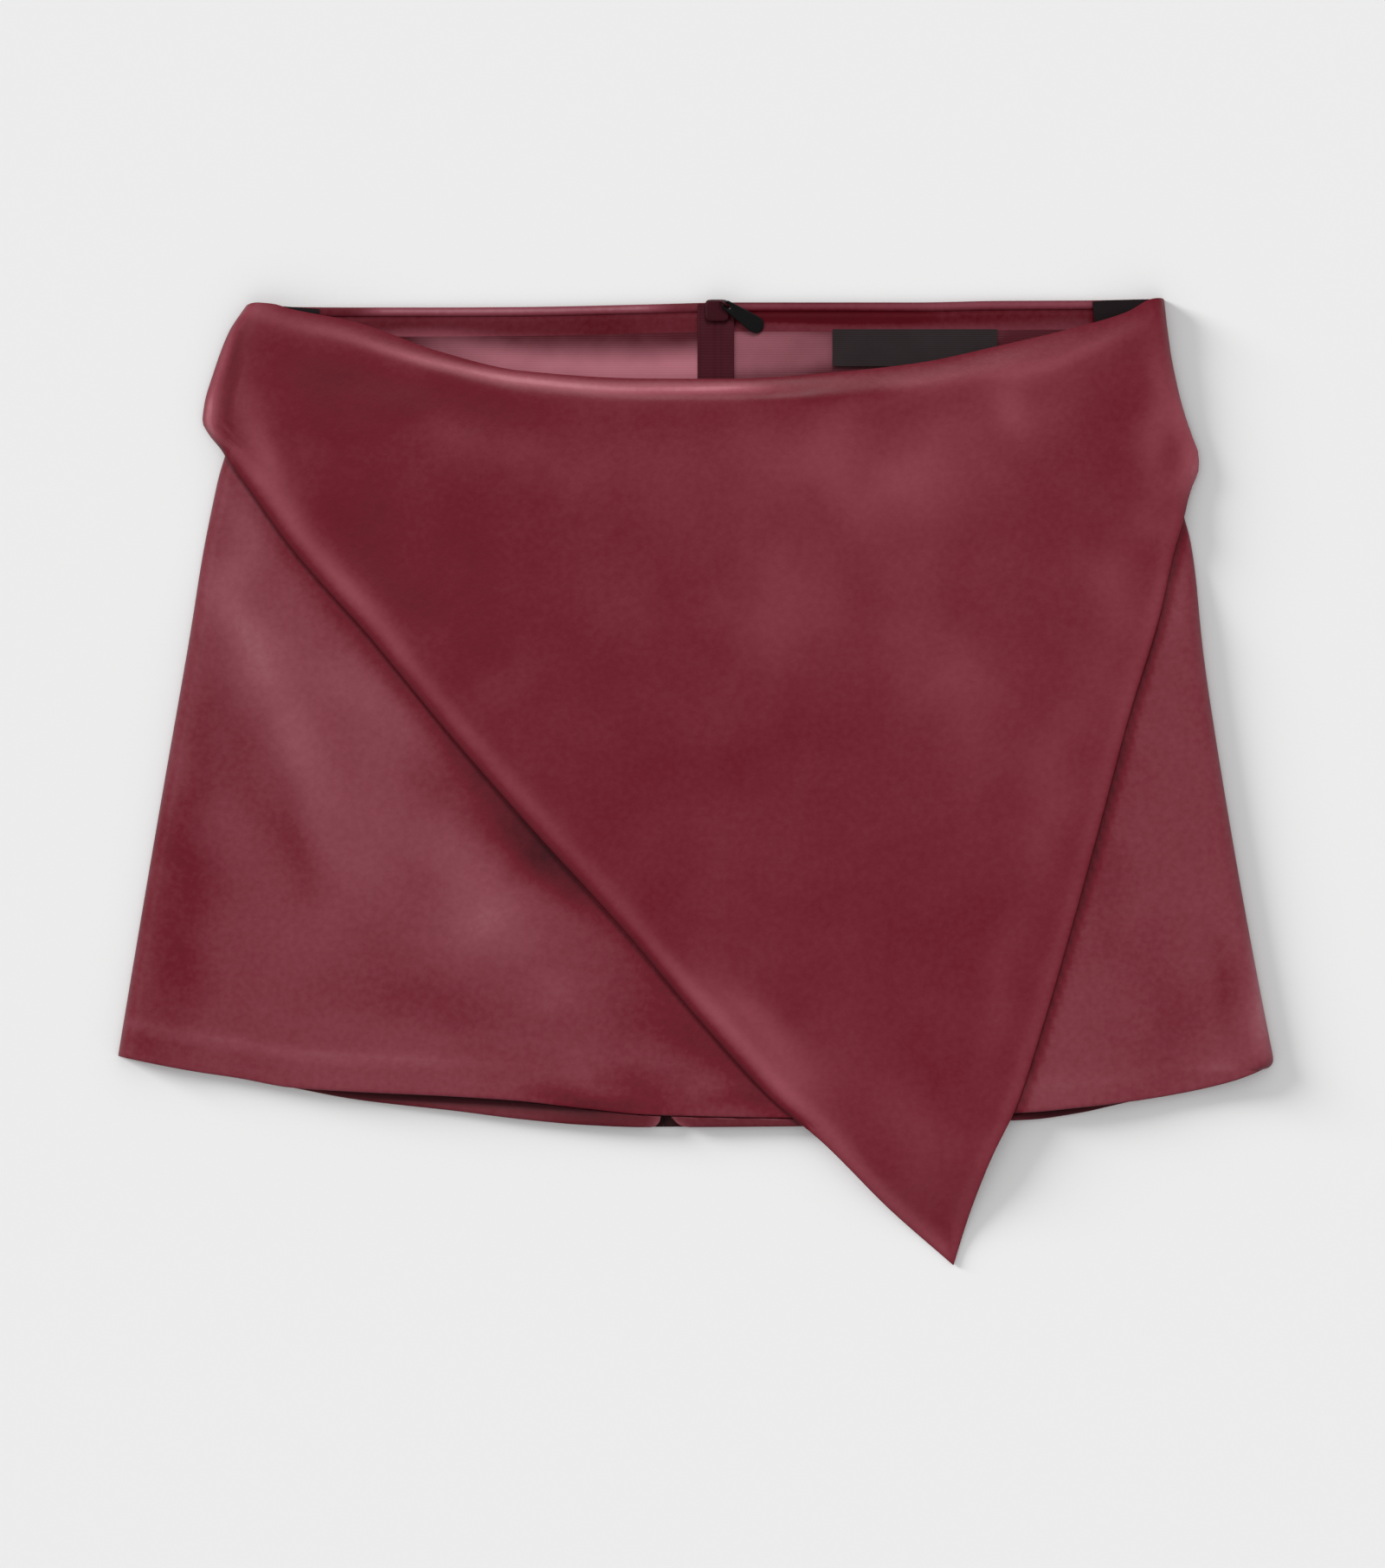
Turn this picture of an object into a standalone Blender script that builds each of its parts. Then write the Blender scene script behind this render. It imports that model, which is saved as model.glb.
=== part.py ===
"""A faux-leather skort laid flat: shorts with a skirt front and a pointed overlay that wraps both hips.

It lies on its back on the plane z = 0. +Z is up from that surface, +Y runs to the waist and +X to the
right-hand fold as seen from above. Every size below is in millimetres, and MM turns it to metres.
The layers rest on each other from the bottom up: shorts back, waist band and facing, zip tapes,
front legs, skirt front, overlay.
"""

import math
from collections import namedtuple

import bmesh
import bpy
import numpy as np
from mathutils import Matrix, Vector

MM = 0.001

# --- Cloth -------------------------------------------------------------------------------------
LEATHER = 1.2  # wall of the faux leather
LINING = 1.0  # wall of the facing, the tapes and the ribbons
GAP = 0.3  # between pieces that touch or are sewn together
SLACK = 0.25  # air between the front layers, besides the gap
LAYER = LEATHER + GAP
TRIM_LAYER = LINING + GAP

# --- Outline of the tube, waist to hem ---------------------------------------------------------
WAIST_Y = 189.0  # mean height of the back waist edge
HEM_Y = -111.0  # mean height of the hem at the folds
SideRow = namedtuple("SideRow", "waist_x hem_x bow")
LEFT_SIDE = SideRow(waist_x=-175.2, hem_x=-228.45, bow=1.0)
RIGHT_SIDE = SideRow(waist_x=183.3, hem_x=228.5, bow=-3.9)
NEST = 1.7  # how far the overlay's fold stands outside the skirt's fold
PINCH = 1.0  # how far the overlay's edge presses each fold in
PINCH_LENGTH = 7.0
HEM_CORNER = 5.0  # rounding of the hem's right corner
HEM_CORNER_Y = -113.5
FOLD_ROLL = 6.0  # plan width of the rounded side folds
BACK_INSET = 2.7  # back panels end this far inside the skirt's fold
FOLD_LIFT = 0.7  # lowest point of a front sheet where it meets the back at the fold

WaistRow = namedtuple("WaistRow", "x back front")
WAIST = (
    WaistRow(x=-177, back=188.0, front=188.5),
    WaistRow(x=-159, back=187.2, front=186.2),
    WaistRow(x=-134, back=187.0, front=181.0),
    WaistRow(x=-102, back=187.0, front=169.6),
    WaistRow(x=-68, back=187.2, front=160.6),
    WaistRow(x=-20, back=188.2, front=158.6),
    WaistRow(x=15, back=189.0, front=158.5),
    WaistRow(x=54, back=189.0, front=161.0),
    WaistRow(x=88, back=189.0, front=164.8),
    WaistRow(x=119, back=189.6, front=171.4),
    WaistRow(x=157, back=189.8, front=180.7),
    WaistRow(x=185, back=190.4, front=191.0),
)

HemRow = namedtuple("HemRow", "x legs skirt")
HEM = (
    HemRow(x=-228, legs=-107.5, skirt=-108.3),
    HemRow(x=-200, legs=-114.0, skirt=-114.6),
    HemRow(x=-158, legs=-121.4, skirt=-120.9),
    HemRow(x=-133, legs=-125.4, skirt=-122.2),
    HemRow(x=-95, legs=-129.8, skirt=-124.0),
    HemRow(x=-68, legs=-133.2, skirt=-125.8),
    HemRow(x=-42, legs=-135.4, skirt=-128.8),
    HemRow(x=-16, legs=-136.3, skirt=-131.4),
    HemRow(x=44, legs=-135.9, skirt=-132.6),
    HemRow(x=128, legs=-133.4, skirt=-130.6),
    HemRow(x=151, legs=-130.6, skirt=-128.6),
    HemRow(x=176, legs=-125.2, skirt=-125.4),
    HemRow(x=205, legs=-118.6, skirt=-119.8),
    HemRow(x=228, legs=-112.0, skirt=-113.5),
)

# --- Overlay -----------------------------------------------------------------------------------
TIP_X = 101.8
EdgeRow = namedtuple("EdgeRow", "x y")
LEFT_EDGE = (
    EdgeRow(x=-187.0, y=130.5),
    EdgeRow(x=-180.0, y=120.6),
    EdgeRow(x=-158.0, y=90.0),
    EdgeRow(x=-130.0, y=58.4),
    EdgeRow(x=-97.0, y=18.4),
    EdgeRow(x=-62.0, y=-21.5),
    EdgeRow(x=-31.0, y=-55.6),
    EdgeRow(x=1.5, y=-94.2),
    EdgeRow(x=30.0, y=-125.4),
    EdgeRow(x=50.0, y=-142.2),
    EdgeRow(x=77.0, y=-169.2),
    EdgeRow(x=TIP_X, y=-191.0),
)
RIGHT_EDGE = (
    EdgeRow(x=TIP_X, y=-191.0),
    EdgeRow(x=108.3, y=-170.0),
    EdgeRow(x=116.2, y=-149.3),
    EdgeRow(x=126.8, y=-127.0),
    EdgeRow(x=136.4, y=-98.0),
    EdgeRow(x=146.4, y=-64.0),
    EdgeRow(x=158.6, y=-20.0),
    EdgeRow(x=170.6, y=24.7),
    EdgeRow(x=183.0, y=66.0),
    EdgeRow(x=188.5, y=90.0),
    EdgeRow(x=193.3, y=106.5),
)
BulgeRow = namedtuple("BulgeRow", "y out")
LEFT_BULGE = (
    BulgeRow(y=130.5, out=0.0),
    BulgeRow(y=137.3, out=6.1),
    BulgeRow(y=142.5, out=9.1),
    BulgeRow(y=149.5, out=9.5),
    BulgeRow(y=161.0, out=8.3),
    BulgeRow(y=176.5, out=5.5),
    BulgeRow(y=188.5, out=0.0),
)
RIGHT_BULGE = (
    BulgeRow(y=106.5, out=0.0),
    BulgeRow(y=115.2, out=2.8),
    BulgeRow(y=123.5, out=6.8),
    BulgeRow(y=129.0, out=7.4),
    BulgeRow(y=139.0, out=4.9),
    BulgeRow(y=154.5, out=2.1),
    BulgeRow(y=171.5, out=0.5),
    BulgeRow(y=191.0, out=0.0),
)
BULGE_REACH = 60.0  # how far in from a fold the columns of the overlay follow its bulge
RIM_ROLL = 5.5  # plan width of the rolled front waist edge
RIM_LOW = 4.4  # height of that edge over the resting surface
SKIRT_INSET = 6.5  # top of the skirt front, inside the rolled edge
LEG_INSET = 10.0  # top of the front legs, inside the rolled edge
EDGE_PUFF = 1.2  # air under the overlay away from its free edge
EDGE_PUFF_REACH = 45.0
EDGE_SLANT = 0.6  # distance from the slanting edge, for each unit of height above it
EDGE_LIFT = 1.4  # the slanting free edge stands off the skirt in its middle
LIFT_CENTRE = (-45.0, -35.0)
LIFT_REACH = 75.0
TIP_BRIDGE = 13.0  # how far the overlay stays level past the hem
TIP_FALL = 40.0  # length over which it then sinks to the surface

# --- Heights -----------------------------------------------------------------------------------
PUFF = 2.0  # air between back and front in the middle
PUFF_CENTRE_Y = 60.0
PUFF_REACH_Y = 175.0
STEP_REACH = 56.0  # plan length over which the front rises over the facing and the zip
STEP_FLAT = 12.0  # and the part of it that is already level
FACING_DEPTH = 50.0
BAND_DEPTH = 11.5
LEG_DROP = 18.0  # middle of the leg hems, below HEM_Y
CORNER_CLEAR = 10.0  # band and facing stop this far from a fold

# --- Centre back, zip and trims ------------------------------------------------------------------
SEAM_X = 8.0
SEAM_BEND_Y = 120.0
SEAM_SHIFT = 20.0  # how far the seam has moved to the left at the crotch
SEAM_LENGTH = 250.0
CROTCH_Y = -88.0
SPLIT_WIDTH = 3.0  # between the legs just above the hem
SPLIT_OPENS = 40.0  # length below the crotch over which the split widens
INSEAM_CORNER = 8.0  # rounding of the right leg's inner hem corner
TAPE_WIDTH = 7.2
TAPE_LENGTH = 148.0
TAPE_TOP = 0.6  # top of the tapes, below the waist edge
LABEL_SIZE = (64.8, 14.6)
LABEL_CENTRE = (86.5, 170.2)
LABEL_THICK = 0.8
LoopRow = namedtuple("LoopRow", "name first last width")
HANGER_LOOPS = (
    LoopRow(name="hanger_loop_left", first=(-163.0, 184.6), last=(-143.0, 183.4), width=3.6),
    LoopRow(name="hanger_loop_right", first=(150.5, 178.2), last=(175.0, 186.6), width=7.0),
)
SLIDER_SIZE = (9.4, 8.6, 1.5)
SLIDER_CENTRE = (8.4, 185.6)
SLIDER_CORNER = 1.2
PIVOT_XY = (11.2, 188.2)
PIVOT_RISE = 1.35  # pivot above the slider's top
PULL_TURN = math.radians(-33.0)  # direction of the pull in plan
PULL_SLOPE = math.radians(11.0)  # how far it slopes down from its pivot to the band
PULL_THICK = 1.0
ARCH_RADIUS = 1.6
ARCH_WIRE = 0.4
ARCH_ROOT = 0.6  # how far its ends are sunk in the slider
EYE_RADIUS = 2.0
EYE_BAR = 0.45  # half width of the bar that turns under the arch
EYE_END = 2.75  # outer end of the eye's hole
EYE_HALF = 0.9
BULB_RADIUS = 3.4
BULB_AT = 15.1

# --- Grids -------------------------------------------------------------------------------------
ROLL_STEPS = (0.0, 0.035, 0.2, 0.5, 1.0)  # plan places across a quarter roll, as shares of it
SKIRT_COLUMNS = 22
SKIRT_ROWS_ABOVE = 3  # between the waist and the line from one overlay end to the other
SKIRT_ROWS_BELOW = 6
NOTCH_STEPS = (8.0, 0.0, -8.0)  # rows of the skirt along that line, as heights over it
HEM_STEPS = (12.0, 5.0, 2.0, 0.6, 0.0)  # last rows of the skirt, as heights over its hem
OVERLAY_LEFT_COLUMNS = 16
OVERLAY_RIGHT_COLUMNS = 10
OVERLAY_ROWS = 15
PANEL_COLUMNS = 9
PANEL_ROWS = 10
ROW_PACKING = 0.75  # under 1, a panel's rows lie closer together towards its hem
LEFT, RIGHT = -1, 1


def curve_through(rows, across, value):
    """A smooth function through a table's rows: cubic pieces whose slopes never overshoot a row."""
    xs = np.array([getattr(row, across) for row in rows], float)
    ys = np.array([getattr(row, value) for row in rows], float)
    steps = np.diff(xs)
    slopes = np.diff(ys) / steps
    inner = np.zeros(len(xs))
    for k in range(1, len(xs) - 1):
        if slopes[k - 1] * slopes[k] > 0:
            inner[k] = 2 * slopes[k - 1] * slopes[k] / (slopes[k - 1] + slopes[k])
    inner[0] = slopes[0]
    inner[-1] = slopes[-1]

    def at(x):
        x = min(max(x, xs[0]), xs[-1])
        k = min(int(np.searchsorted(xs, x, side="right")) - 1, len(steps) - 1)
        t = (x - xs[k]) / steps[k]
        return float(
            ys[k] * (1 + 2 * t) * (1 - t) ** 2
            + ys[k + 1] * t * t * (3 - 2 * t)
            + steps[k] * t * (1 - t) * (inner[k] * (1 - t) - inner[k + 1] * t)
        )

    return at


back_waist = curve_through(WAIST, "x", "back")
front_waist = curve_through(WAIST, "x", "front")
legs_hem = curve_through(HEM, "x", "legs")
skirt_hem = curve_through(HEM, "x", "skirt")
left_edge = curve_through(LEFT_EDGE, "x", "y")
right_edge = curve_through(RIGHT_EDGE, "x", "y")
bulges = {
    LEFT: curve_through(LEFT_BULGE, "y", "out"),
    RIGHT: curve_through(RIGHT_BULGE, "y", "out"),
}
notch_y = {LEFT: LEFT_BULGE[0].y, RIGHT: RIGHT_BULGE[0].y}


def mix(a, b, t):
    return a + (b - a) * t


def ease(t):
    """0 below 0, 1 above 1, and a smooth step between."""
    t = min(max(t, 0.0), 1.0)
    return t * t * (3 - 2 * t)


def quarter_roll(distance, width):
    """Height share of a quarter-round fold at a plan distance from its outer edge."""
    t = min(max(distance / width, 0.0), 1.0)
    return math.sqrt(1 - (1 - t) ** 2)


def corner_inset(distance, radius):
    """How far a corner of this radius is rounded off at a distance from the edge that it ends on."""
    inside = max(radius - distance, 0.0)
    return radius - math.sqrt(radius * radius - inside * inside)


def skirt_side(side, y):
    """The skirt's fold on one side: slightly bowed, and pressed in where the overlay's edge crosses it."""
    row = LEFT_SIDE if side == LEFT else RIGHT_SIDE
    t = (WAIST_Y - y) / (WAIST_Y - HEM_Y)
    pinch = PINCH * math.exp(-(((y - notch_y[side]) / PINCH_LENGTH) ** 2))
    corner = corner_inset(max(y - HEM_CORNER_Y, 0.0), HEM_CORNER) if side == RIGHT else 0.0
    return mix(row.waist_x, row.hem_x, t) + side * (row.bow * 4 * t * (1 - t) - pinch - corner)


def overlay_side(side, y):
    """The overlay's fold: outside the skirt's, and standing off it where it is loose over the hip."""
    return skirt_side(side, y) + side * (NEST + bulges[side](y) * (y > notch_y[side]))


def seam_x(y):
    """The centre-back seam, straight along the zip and then moving over to the crotch."""
    below = max(SEAM_BEND_Y - y, 0.0) / SEAM_LENGTH
    return SEAM_X - SEAM_SHIFT * below**1.5


def dome(x, y):
    """1 in the middle of the garment and 0 at its folds and hem."""
    left = skirt_side(LEFT, y)
    right = skirt_side(RIGHT, y)
    across = 2 * (x - left) / (right - left) - 1
    along = (y - PUFF_CENTRE_Y) / PUFF_REACH_Y
    return max(1 - across * across, 0.0) * max(1 - abs(along) ** 3, 0.0)


def front_level(x, y):
    """Underside of the front legs: over the back, the facing, the zip and the air between."""
    facing = ease((y - (WAIST_Y - FACING_DEPTH - STEP_REACH)) / (STEP_REACH - STEP_FLAT))
    zip_across = ease((STEP_REACH + TAPE_WIDTH - abs(x - seam_x(y))) / (STEP_REACH - STEP_FLAT))
    zip_along = ease((y - (WAIST_Y - TAPE_LENGTH - STEP_REACH)) / (STEP_REACH - STEP_FLAT))
    return LAYER + TRIM_LAYER * (facing + zip_across * zip_along) + PUFF * dome(x, y)


def folded(height, x, y, side_of):
    """A front sheet's height, brought down to the surface round both side folds."""
    left = quarter_roll(x - side_of(LEFT, y), FOLD_ROLL)
    right = quarter_roll(side_of(RIGHT, y) - x, FOLD_ROLL)
    return FOLD_LIFT + (height - FOLD_LIFT) * left * right


def roll_distances(width):
    return [step * width for step in ROLL_STEPS]


def even(first, last, count):
    """count places from first to last, leaving out first."""
    return [mix(first, last, (k + 1) / count) for k in range(count)]


# --- Blender helpers ----------------------------------------------------------------------------
def collection(name):
    made = bpy.data.collections.new(name)
    bpy.context.scene.collection.children.link(made)
    return made


def material(name, colour, roughness, metallic=0.0):
    made = bpy.data.materials.new(name)
    made.use_nodes = True
    shader = made.node_tree.nodes["Principled BSDF"]
    shader.inputs["Base Color"].default_value = (*colour, 1.0)
    shader.inputs["Roughness"].default_value = roughness
    shader.inputs["Metallic"].default_value = metallic
    made.diffuse_color = (*colour, 1.0)
    return made


def link(name, mesh, target, surface):
    mesh.materials.append(surface)
    made = bpy.data.objects.new(name, mesh)
    target.objects.link(made)
    return made


def sheet(name, columns, rows, place, wall, surface):
    """A sheet of cloth: a grid whose top face is place(column, row) in mm, made solid downwards."""
    mesh = bpy.data.meshes.new(name)
    grid = bmesh.new()
    bmesh.ops.create_grid(grid, x_segments=columns, y_segments=rows, size=1.0)
    for vertex in grid.verts:
        column = round((vertex.co.x + 1) / 2 * columns)
        row = round((1 - vertex.co.y) / 2 * rows)
        vertex.co = Vector(place(column, row)) * MM
    grid.to_mesh(mesh)
    grid.free()
    mesh.shade_smooth()
    made = link(name, mesh, parts, surface)
    solid = made.modifiers.new("wall", "SOLIDIFY")
    solid.thickness = wall * MM
    solid.offset = -1.0
    return made


# --- Front pieces -------------------------------------------------------------------------------
def make_skirt_front(surface):
    """A-line front panel from inside the waist roll to the hem, rolled down to the seam at both folds."""
    roll = roll_distances(FOLD_ROLL)
    insets = [(LEFT, d) for d in roll]
    insets += [(0, k / SKIRT_COLUMNS) for k in range(1, SKIRT_COLUMNS)]
    insets += [(RIGHT, d) for d in reversed(roll)]

    def across(index, y):
        side, amount = insets[index]
        if side:
            return skirt_side(side, y) - side * amount
        return mix(skirt_side(LEFT, y) + FOLD_ROLL, skirt_side(RIGHT, y) - FOLD_ROLL, amount)

    def heights(column):
        """Heights of a column's points: close together by the overlay's ends and at the hem."""
        top = front_waist(across(column, WAIST_Y)) - SKIRT_INSET
        share = column / (len(insets) - 1)
        notch = mix(notch_y[LEFT], notch_y[RIGHT], share)
        hem = skirt_hem(across(column, HEM_Y))
        above = even(top, notch + NOTCH_STEPS[0], SKIRT_ROWS_ABOVE)
        below = even(notch + NOTCH_STEPS[-1], hem + HEM_STEPS[0], SKIRT_ROWS_BELOW)
        by_notch = [notch + step for step in NOTCH_STEPS[1:]]
        return [top, *above, *by_notch, *below, *(hem + step for step in HEM_STEPS[1:])]

    columns = [heights(column) for column in range(len(insets))]

    def place(column, row):
        y = columns[column][row]
        x = across(column, y)
        height = front_level(x, y) + LAYER + SLACK + LEATHER
        return x, y, folded(height, x, y, skirt_side)

    return sheet("skirt_front", len(insets) - 1, len(columns[0]) - 1, place, LEATHER, surface)


def free_edge(x):
    return left_edge(x) if x < TIP_X else right_edge(x)


def walk(first_x, last_x, count):
    """count points at even lengths along the overlay's free edge, after first_x and up to last_x."""
    xs = np.linspace(first_x, last_x, 400)
    ys = np.array([free_edge(x) for x in xs])
    lengths = np.concatenate([[0.0], np.cumsum(np.hypot(np.diff(xs), np.diff(ys)))])
    wanted = [lengths[-1] * (k + 1) / count for k in range(count)]
    return [float(np.interp(length, lengths, xs)) for length in wanted]


def overlay_height(x, y, edge_distance):
    """Top of the overlay before its folds: over the skirt and some air, and down to the tip past the hem."""
    over_skirt = front_level(x, y) + 2 * (LAYER + SLACK) + LEATHER
    over_skirt += EDGE_PUFF * ease(edge_distance / EDGE_PUFF_REACH)
    away = math.hypot(x - LIFT_CENTRE[0], y - LIFT_CENTRE[1]) / LIFT_REACH
    over_skirt += EDGE_LIFT * math.exp(-away * away)
    past_hem = (legs_hem(x) - TIP_BRIDGE - y) / TIP_FALL
    return mix(over_skirt, LEATHER + GAP, ease(past_hem))


def make_overlay(surface):
    """Pointed overlay: its columns hang from the rolled waist edge to the slanting free edge."""
    roll = roll_distances(FOLD_ROLL)
    left_notch = LEFT_EDGE[0].x
    right_notch = RIGHT_EDGE[-1].x
    left_top = overlay_side(LEFT, WAIST_Y)
    right_top = overlay_side(RIGHT, WAIST_Y)
    tip_top = mix(left_top, right_top, OVERLAY_LEFT_COLUMNS / (OVERLAY_LEFT_COLUMNS + OVERLAY_RIGHT_COLUMNS))
    tops = [left_top + d for d in roll]
    tops += even(tops[-1], tip_top, OVERLAY_LEFT_COLUMNS)
    tops += even(tip_top, right_top - FOLD_ROLL, OVERLAY_RIGHT_COLUMNS)
    tops += [right_top - d for d in reversed(roll[:-1])]
    bottoms = [left_notch + d for d in roll]
    bottoms += walk(bottoms[-1], TIP_X, OVERLAY_LEFT_COLUMNS)
    bottoms += walk(TIP_X, right_notch - FOLD_ROLL, OVERLAY_RIGHT_COLUMNS)
    bottoms += [right_notch - d for d in reversed(roll[:-1])]
    rim_rows = roll_distances(RIM_ROLL)

    def fold_shift(side, y, distance):
        """How far a column moves sideways to follow the fold's bulge, less and less towards the middle."""
        top_x, end_x = (left_top, left_notch) if side == LEFT else (right_top, right_notch)
        t = (WAIST_Y - y) / (WAIST_Y - notch_y[side])
        if t > 1:
            return 0.0
        away = max(distance - FOLD_ROLL, 0.0) / BULGE_REACH
        return (overlay_side(side, y) - mix(top_x, end_x, t)) * max(1 - away, 0.0) ** 2

    def place(column, row):
        top_x = tops[column]
        top_y = front_waist(top_x)
        bottom_x = bottoms[column]
        bottom_y = free_edge(bottom_x)
        length = top_y - bottom_y
        if row < len(rim_rows):
            share = rim_rows[row] / length
        else:
            share = mix(RIM_ROLL / length, 1.0, (row - len(rim_rows) + 1) / OVERLAY_ROWS)
        y = mix(top_y, bottom_y, share)
        x = mix(top_x, bottom_x, share)
        x += fold_shift(LEFT, y, top_x - left_top) + fold_shift(RIGHT, y, right_top - top_x)
        height = overlay_height(x, y, (y - bottom_y) * EDGE_SLANT)
        rim = quarter_roll(top_y - y, RIM_ROLL)
        return x, y, folded(mix(RIM_LOW, height, rim), x, y, overlay_side)

    return sheet("overlay", len(tops) - 1, len(rim_rows) - 1 + OVERLAY_ROWS, place, LEATHER, surface)


# --- Shorts -------------------------------------------------------------------------------------
def inner_edge(side, y):
    """A leg's inner edge: the centre seam, then the inseam below the crotch with its hem corner."""
    below = ease((CROTCH_Y - y) / SPLIT_OPENS)
    x = seam_x(y) + side * (GAP / 2 + below * SPLIT_WIDTH / 2)
    if side == RIGHT:
        x += corner_inset(max(y - legs_hem(x), 0.0), INSEAM_CORNER)
    return x


def make_leg(name, side, top, outer_inset, height_at, surface):
    """Half of the shorts, back or front: from the outer fold to the centre seam, waist to leg hem."""

    def place(column, row):
        share = column / PANEL_COLUMNS

        def across(y):
            outer = skirt_side(side, y) - side * outer_inset
            ends = (outer, inner_edge(side, y))
            return mix(*(ends if side == LEFT else reversed(ends)), share)

        top_y = top(across(WAIST_Y - outer_inset))
        bottom_y = legs_hem(across(HEM_Y - LEG_DROP))
        down = (row / PANEL_ROWS) ** ROW_PACKING
        y = mix(top_y, bottom_y, down)
        x = across(y)
        return x, y, height_at(x, y)

    return sheet(name, PANEL_COLUMNS, PANEL_ROWS, place, LEATHER, surface)


def make_shorts(surface):
    for side, word in ((LEFT, "left"), (RIGHT, "right")):
        make_leg(f"back_{word}", side, back_waist, BACK_INSET, lambda x, y: LEATHER, surface)
        make_leg(
            f"leg_front_{word}",
            side,
            lambda x: front_waist(x) - LEG_INSET,
            FOLD_ROLL + NEST,
            lambda x, y: front_level(x, y) + LEATHER,
            surface,
        )


# --- Inside of the back waist ---------------------------------------------------------------------
def make_waist_strip(name, side, first_depth, last_depth, rows, surface):
    """A strip inside one half of the back waist, between two depths below the waist edge."""

    def place(column, row):
        share = column / PANEL_COLUMNS
        depth = mix(first_depth, last_depth, row / rows)
        y_near = WAIST_Y - depth
        outer = skirt_side(side, y_near) - side * CORNER_CLEAR
        ends = (outer, seam_x(y_near) + side * GAP / 2)
        x = mix(*(ends if side == LEFT else reversed(ends)), share)
        return x, back_waist(x) - depth, LAYER + LINING

    return sheet(name, PANEL_COLUMNS, rows, place, LINING, surface)


def make_waist_inside(leather, satin):
    for side, word in ((LEFT, "left"), (RIGHT, "right")):
        make_waist_strip(f"waist_band_{word}", side, 0.0, BAND_DEPTH, 2, leather)
        make_waist_strip(f"facing_{word}", side, BAND_DEPTH + GAP, FACING_DEPTH, 3, satin)


def make_zip_tapes(surface):
    height = LAYER + TRIM_LAYER + LINING
    rows = 10
    for side, word in ((LEFT, "left"), (RIGHT, "right")):

        def place(column, row, side=side):
            y = mix(back_waist(SEAM_X) - TAPE_TOP, WAIST_Y - TAPE_LENGTH, row / rows)
            near = seam_x(y) + side * GAP / 2
            far = near + side * TAPE_WIDTH
            ends = (far, near) if side == LEFT else (near, far)
            return ends[column], y, height

        sheet(f"zip_tape_{word}", 1, rows, place, LINING, surface)


def make_label(surface):
    """A plain woven label, bare, hanging from the band."""
    width, depth = LABEL_SIZE
    x, y = LABEL_CENTRE

    def place(column, row):
        top = LAYER + TRIM_LAYER + LABEL_THICK
        return x + (column / 4 - 0.5) * width, y + (0.5 - row / 2) * depth, top

    return sheet("label", 4, 2, place, LABEL_THICK, surface)


def make_hanger_loop(loop, surface):
    """A ribbon hanger loop pressed flat along the waist, by a side seam."""
    first = Vector(loop.first)
    last = Vector(loop.last)
    across = (last - first).normalized().orthogonal() * (loop.width / 2)

    def place(column, row):
        point = first.lerp(last, column / 4) + across * (1 - 2 * row)
        return point.x, point.y, LAYER + TRIM_LAYER + LINING

    return sheet(loop.name, 4, 1, place, LINING, surface)


# --- Zip slider and pull --------------------------------------------------------------------------
def slider_top():
    return LAYER + TRIM_LAYER + LINING + GAP + SLIDER_SIZE[2]


def pivot():
    return Vector((*PIVOT_XY, slider_top() + PIVOT_RISE))


def make_arch():
    """Wire arch over the pivot, as a mesh cutter object that the slider's union takes in."""
    steps = 10
    turns = [math.pi * k / steps for k in range(steps + 1)]
    path = [(ARCH_RADIUS * math.cos(a), 0.0, ARCH_RADIUS * math.sin(a)) for a in turns]
    foot = -PIVOT_RISE - ARCH_ROOT
    path = [(ARCH_RADIUS, 0.0, foot), *path, (-ARCH_RADIUS, 0.0, foot)]
    curve = bpy.data.curves.new("arch_path", "CURVE")
    curve.dimensions = "3D"
    curve.bevel_depth = ARCH_WIRE * MM
    curve.bevel_resolution = 1
    curve.use_fill_caps = True
    spline = curve.splines.new("POLY")
    spline.points.add(len(path) - 1)
    for point, co in zip(spline.points, path):
        point.co = (*(Vector(co) * MM), 1.0)
    guide = bpy.data.objects.new("arch_path", curve)
    guide.matrix_world = Matrix.Translation(pivot() * MM) @ Matrix.Rotation(PULL_TURN, 4, "Z")
    cutters.objects.link(guide)
    bpy.context.view_layer.update()
    mesh = bpy.data.meshes.new_from_object(guide.evaluated_get(bpy.context.evaluated_depsgraph_get()))
    tidy = bmesh.new()
    tidy.from_mesh(mesh)
    bmesh.ops.remove_doubles(tidy, verts=tidy.verts, dist=1e-6)
    bmesh.ops.recalc_face_normals(tidy, faces=tidy.faces)
    tidy.to_mesh(mesh)
    tidy.free()
    arch = bpy.data.objects.new("arch", mesh)
    arch.matrix_world = guide.matrix_world.copy()
    cutters.objects.link(arch)
    bpy.data.objects.remove(guide)
    arch.hide_render = True
    arch.display_type = "WIRE"
    return arch


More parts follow.
